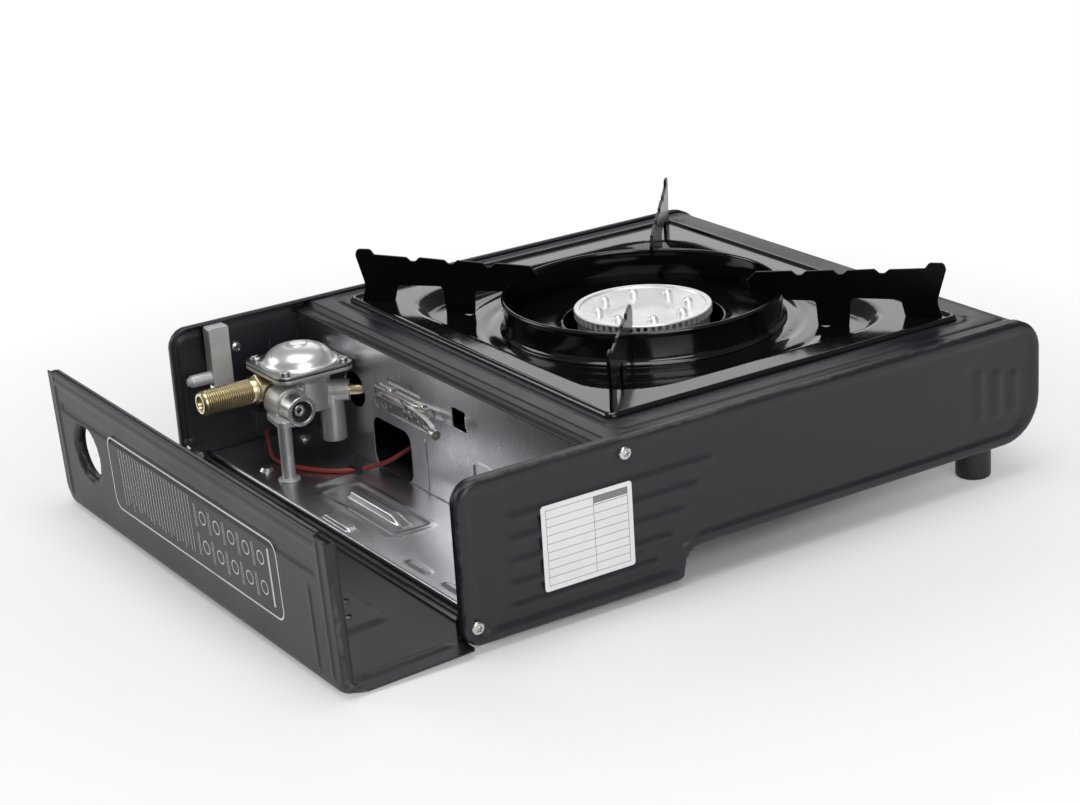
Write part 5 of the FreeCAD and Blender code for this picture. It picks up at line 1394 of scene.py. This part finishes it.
def addBayFloor():
    p = bayFloor
    middle = ((p["from"] + p["to"]) / 2, 0.0)
    half = ((p["to"] - p["from"]) / 2, p["halfY"])
    outline = [Vector(c[:2]) for c in boxCorners(middle, half, 0)]
    left, right, near, far = p["notch"]
    notch = [Vector(corner) for corner in ((left, near), (right, near), (right, far), (left, far))]
    uCuts = evenCuts(p["from"], p["to"], p["across"]) + [p["to"] - d for d in p["frontCuts"]]
    for (x, _), (halfWide, _), _, slope, _ in p["lances"]:
        uCuts += [x + side * (halfWide - slope * k / 3) for k in range(4) for side in (-1, 1)]
    vCuts = evenCuts(-p["halfY"], p["halfY"], p["along"])
    bm = cutSheet(outline, [notch], sorted(set(uCuts)), vCuts)

    def height(x, y):
        lift = -rounding(p["to"] - x, p["roll"])
        at, size, radius, rise, width = p["frame"]
        away = abs(roundBox(x, y, at, size, radius) + width / 2)
        lift += rise * ease(1 - away / width)
        for at, size, radius, rise in p["pads"]:
            lift += rise * ease(-roundBox(x, y, at, size, radius) / p["padSlope"])
        for at, size, rise, slope, ramp in p["lances"]:
            inside = -roundBox(x, y, at, size, p["lanceRadius"])
            share = min(max((at[1] + size[1] - y) / ramp, 0.0), 1.0)
            lift += rise * ease(inside / slope) * share
        return lift, 0.0

    def place(x, y, lift):
        return x, y, p["top"] + lift

    def isFront(x, y):
        return x > p["to"] - 0.01

    pressSheet(bm, height, place, {"chosen": isFront, "depth": p["top"] - p["low"]})
    piece = addPiece("bayFloor", bm, "galvanised_steel", "bay_floor")
    piece.data.materials.append(finishes["black_paint"])
    # the painted edge below the rolled front
    low, ahead = (p["top"] - p["roll"] * 0.8) * 0.001, (p["to"] - p["paintFrom"]) * 0.001
    for face in piece.data.polygons:
        if face.center.z < low and face.center.x > ahead:
            face.material_index = 1
    faceToward(piece, 2)
    addThickness(piece, p["sheet"])


addBayFloor()

print("making the sticker and the lid's printed outline")
sticker = {
    "x": 14.7, "z": 37.5, "halfX": 23.2, "halfZ": 19.5,
    "paper": (0.86, 0.86, 0.86), "ink": (0.10, 0.10, 0.11),
    "rows": 9, "margin": 2.4, "line": 0.22, "columnAt": 0.42, "bar": (0.22, 0.22, 0.23),
    "clouded": 0.93, "barShare": 0.8, "roughness": (0.3, 0.42),
}
lidPrint = {
    "low": 18.0, "high": 55.0, "from": -77.0, "to": 95.0, "radius": 6.0, "line": 0.9, "lift": 0.07,
    "ink": ((0.85, 0.85, 0.85), (0.70, 0.70, 0.70)), "roughness": (0.45, 0.6),
    "bar": (23.0, 50.0, 86.0, 87.6),
    "ringY": (79.0, 65.0, 51.0, 37.0, 23.0), "ringHeights": (29.5, 43.5), "ring": (3.3, 2.7),
    "ringSteps": 28, "besideRing": (6.3, 7.7), "besideSpan": (6.0, 5.0), "besideShare": 0.8,
    "rulesFrom": 10.0, "rulesTo": -68.0, "rulePitch": 3.1, "rule": (22.0, 51.0, 0.42),
    "ragged": 4.0,
}
inkBump = (0.1, 0.00005)


def makeStickerFinish():
    p = sticker
    material, tree, shader, where = newFinish("printedLabel")
    grain = placeGroup(tree, grainGroup, where, Grain_Scale=800.0, Cloud_Scale=30.0)
    split = tree.nodes.new("ShaderNodeSeparateXYZ")
    tree.links.new(where, split.inputs[0])

    def maths(operation, first, second=None):
        return addMath(tree, operation, first, second)

    def between(value, low, high):
        return maths("MULTIPLY", maths("GREATER_THAN", value, low), maths("LESS_THAN", value, high))

    across = maths("SUBTRACT", split.outputs["X"], (p["x"] - p["halfX"] + drawnAt.x) * 0.001)
    up = maths("SUBTRACT", split.outputs["Z"], (p["z"] - p["halfZ"]) * 0.001)
    margin, line = p["margin"] * 0.001, p["line"] * 0.001
    width, height = p["halfX"] * 0.002, p["halfZ"] * 0.002
    inner = width - 2 * margin
    pitch = (height - 2 * margin) / p["rows"]
    fromRow = maths("PINGPONG", maths("SUBTRACT", up, margin), pitch / 2)
    insideUp = between(up, margin - line, height - margin + line)
    inside = maths("MULTIPLY", insideUp, between(across, margin, width - margin))
    rows = maths("MULTIPLY", maths("LESS_THAN", fromRow, line / 2), inside)
    columns = 0.0
    for share in (0.0, p["columnAt"], 1.0):
        away = maths("ABSOLUTE", maths("SUBTRACT", across, margin + inner * share))
        columns = maths("MAXIMUM", columns, maths("LESS_THAN", away, line / 2))
    inked = maths("MAXIMUM", rows, maths("MULTIPLY", columns, insideUp))
    clouded = tuple(p["clouded"] * value for value in p["paper"])
    paper = colorMix(tree, grain.outputs["Cloud"], p["paper"], clouded)
    atHead = maths("GREATER_THAN", up, height - margin - pitch * p["barShare"])
    atLeft = maths("LESS_THAN", across, margin + inner * p["columnAt"])
    bar = maths("MULTIPLY", maths("MULTIPLY", inside, atHead), atLeft)
    paper = colorMix(tree, bar, paper, p["bar"])
    tree.links.new(colorMix(tree, inked, paper, p["ink"]), shader.inputs["Base Color"])
    setRoughness(tree, shader, grain.outputs["Cloud"], p["roughness"])
    addBump(tree, shader, grain.outputs["Height"], *inkBump)
    return material


def makeInkFinish():
    material, tree, shader, where = newFinish("whiteInk")
    grain = placeGroup(tree, grainGroup, where, Grain_Scale=1200.0, Cloud_Scale=60.0)
    ink = colorMix(tree, grain.outputs["Cloud"], *lidPrint["ink"])
    tree.links.new(ink, shader.inputs["Base Color"])
    setRoughness(tree, shader, grain.outputs["Cloud"], lidPrint["roughness"])
    addBump(tree, shader, grain.outputs["Height"], *inkBump)
    return material


finishes["white_label"] = makeStickerFinish()
finishes["white_ink"] = makeInkFinish()


def addLidPrint():
    # a rounded outline on the lid's face with plain rings and ruled lines inside it
    p = lidPrint
    spot = ((p["low"] + p["high"]) / 2, (p["from"] + p["to"]) / 2)
    half = ((p["high"] - p["low"]) / 2, (p["to"] - p["from"]) / 2)
    bm = bmesh.new()
    rings = []
    for inset in (0.0, p["line"]):
        size = (half[0] - inset, half[1] - inset)
        points = roundedPoints(boxCorners(spot, size, p["radius"] - inset))
        rings.append([bm.verts.new((*point, 0)) for point in points])
    edges = [[bm.edges.new((ring[k - 1], ring[k])) for k in range(len(ring))] for ring in rings]
    bmesh.ops.bridge_loops(bm, edges=edges[0] + edges[1])

    def addBar(low, high, start, end):
        corners = ((low, start), (high, start), (high, end), (low, end))
        bm.faces.new([bm.verts.new((*corner, 0)) for corner in corners])

    addBar(*p["bar"])
    for y in p["ringY"]:
        for h in p["ringHeights"]:
            outer, inner = ([bm.verts.new((*point, 0))
                             for point in circlePoints((h, y), radius, p["ringSteps"])]
                            for radius in p["ring"])
            for k in range(p["ringSteps"]):
                bm.faces.new((outer[k - 1], outer[k], inner[k], inner[k - 1]))
            below, above = p["besideSpan"]
            for beside in p["besideRing"]:
                end = y - beside - p["besideShare"] * p["rule"][2]
                addBar(h - below, h + above, y - beside, end)
    low, high, wide = p["rule"]
    for k in range(int((p["rulesFrom"] - p["rulesTo"]) / p["rulePitch"])):
        at = p["rulesFrom"] - k * p["rulePitch"]
        addBar(low + random.uniform(0.0, p["ragged"]), high, at, at - wide)
    for vert in bm.verts:
        # a height on the standing lid is the way across its closed top from the bend
        vert.co = openLid(lid["side"] - vert.co.x, vert.co.y, lid["top"] + p["lift"])
    piece = addMesh("lidPrint", bm, "white_ink")
    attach(piece, "lid")


addLidPrint()


def paintNodes():
    for nodeName, node in frame["nodes"].items():
        node.data.materials.clear()
        node.data.materials.append(finishes[slotOf[nodeName]])


paintNodes()
print("finishes placed on the CAD nodes")
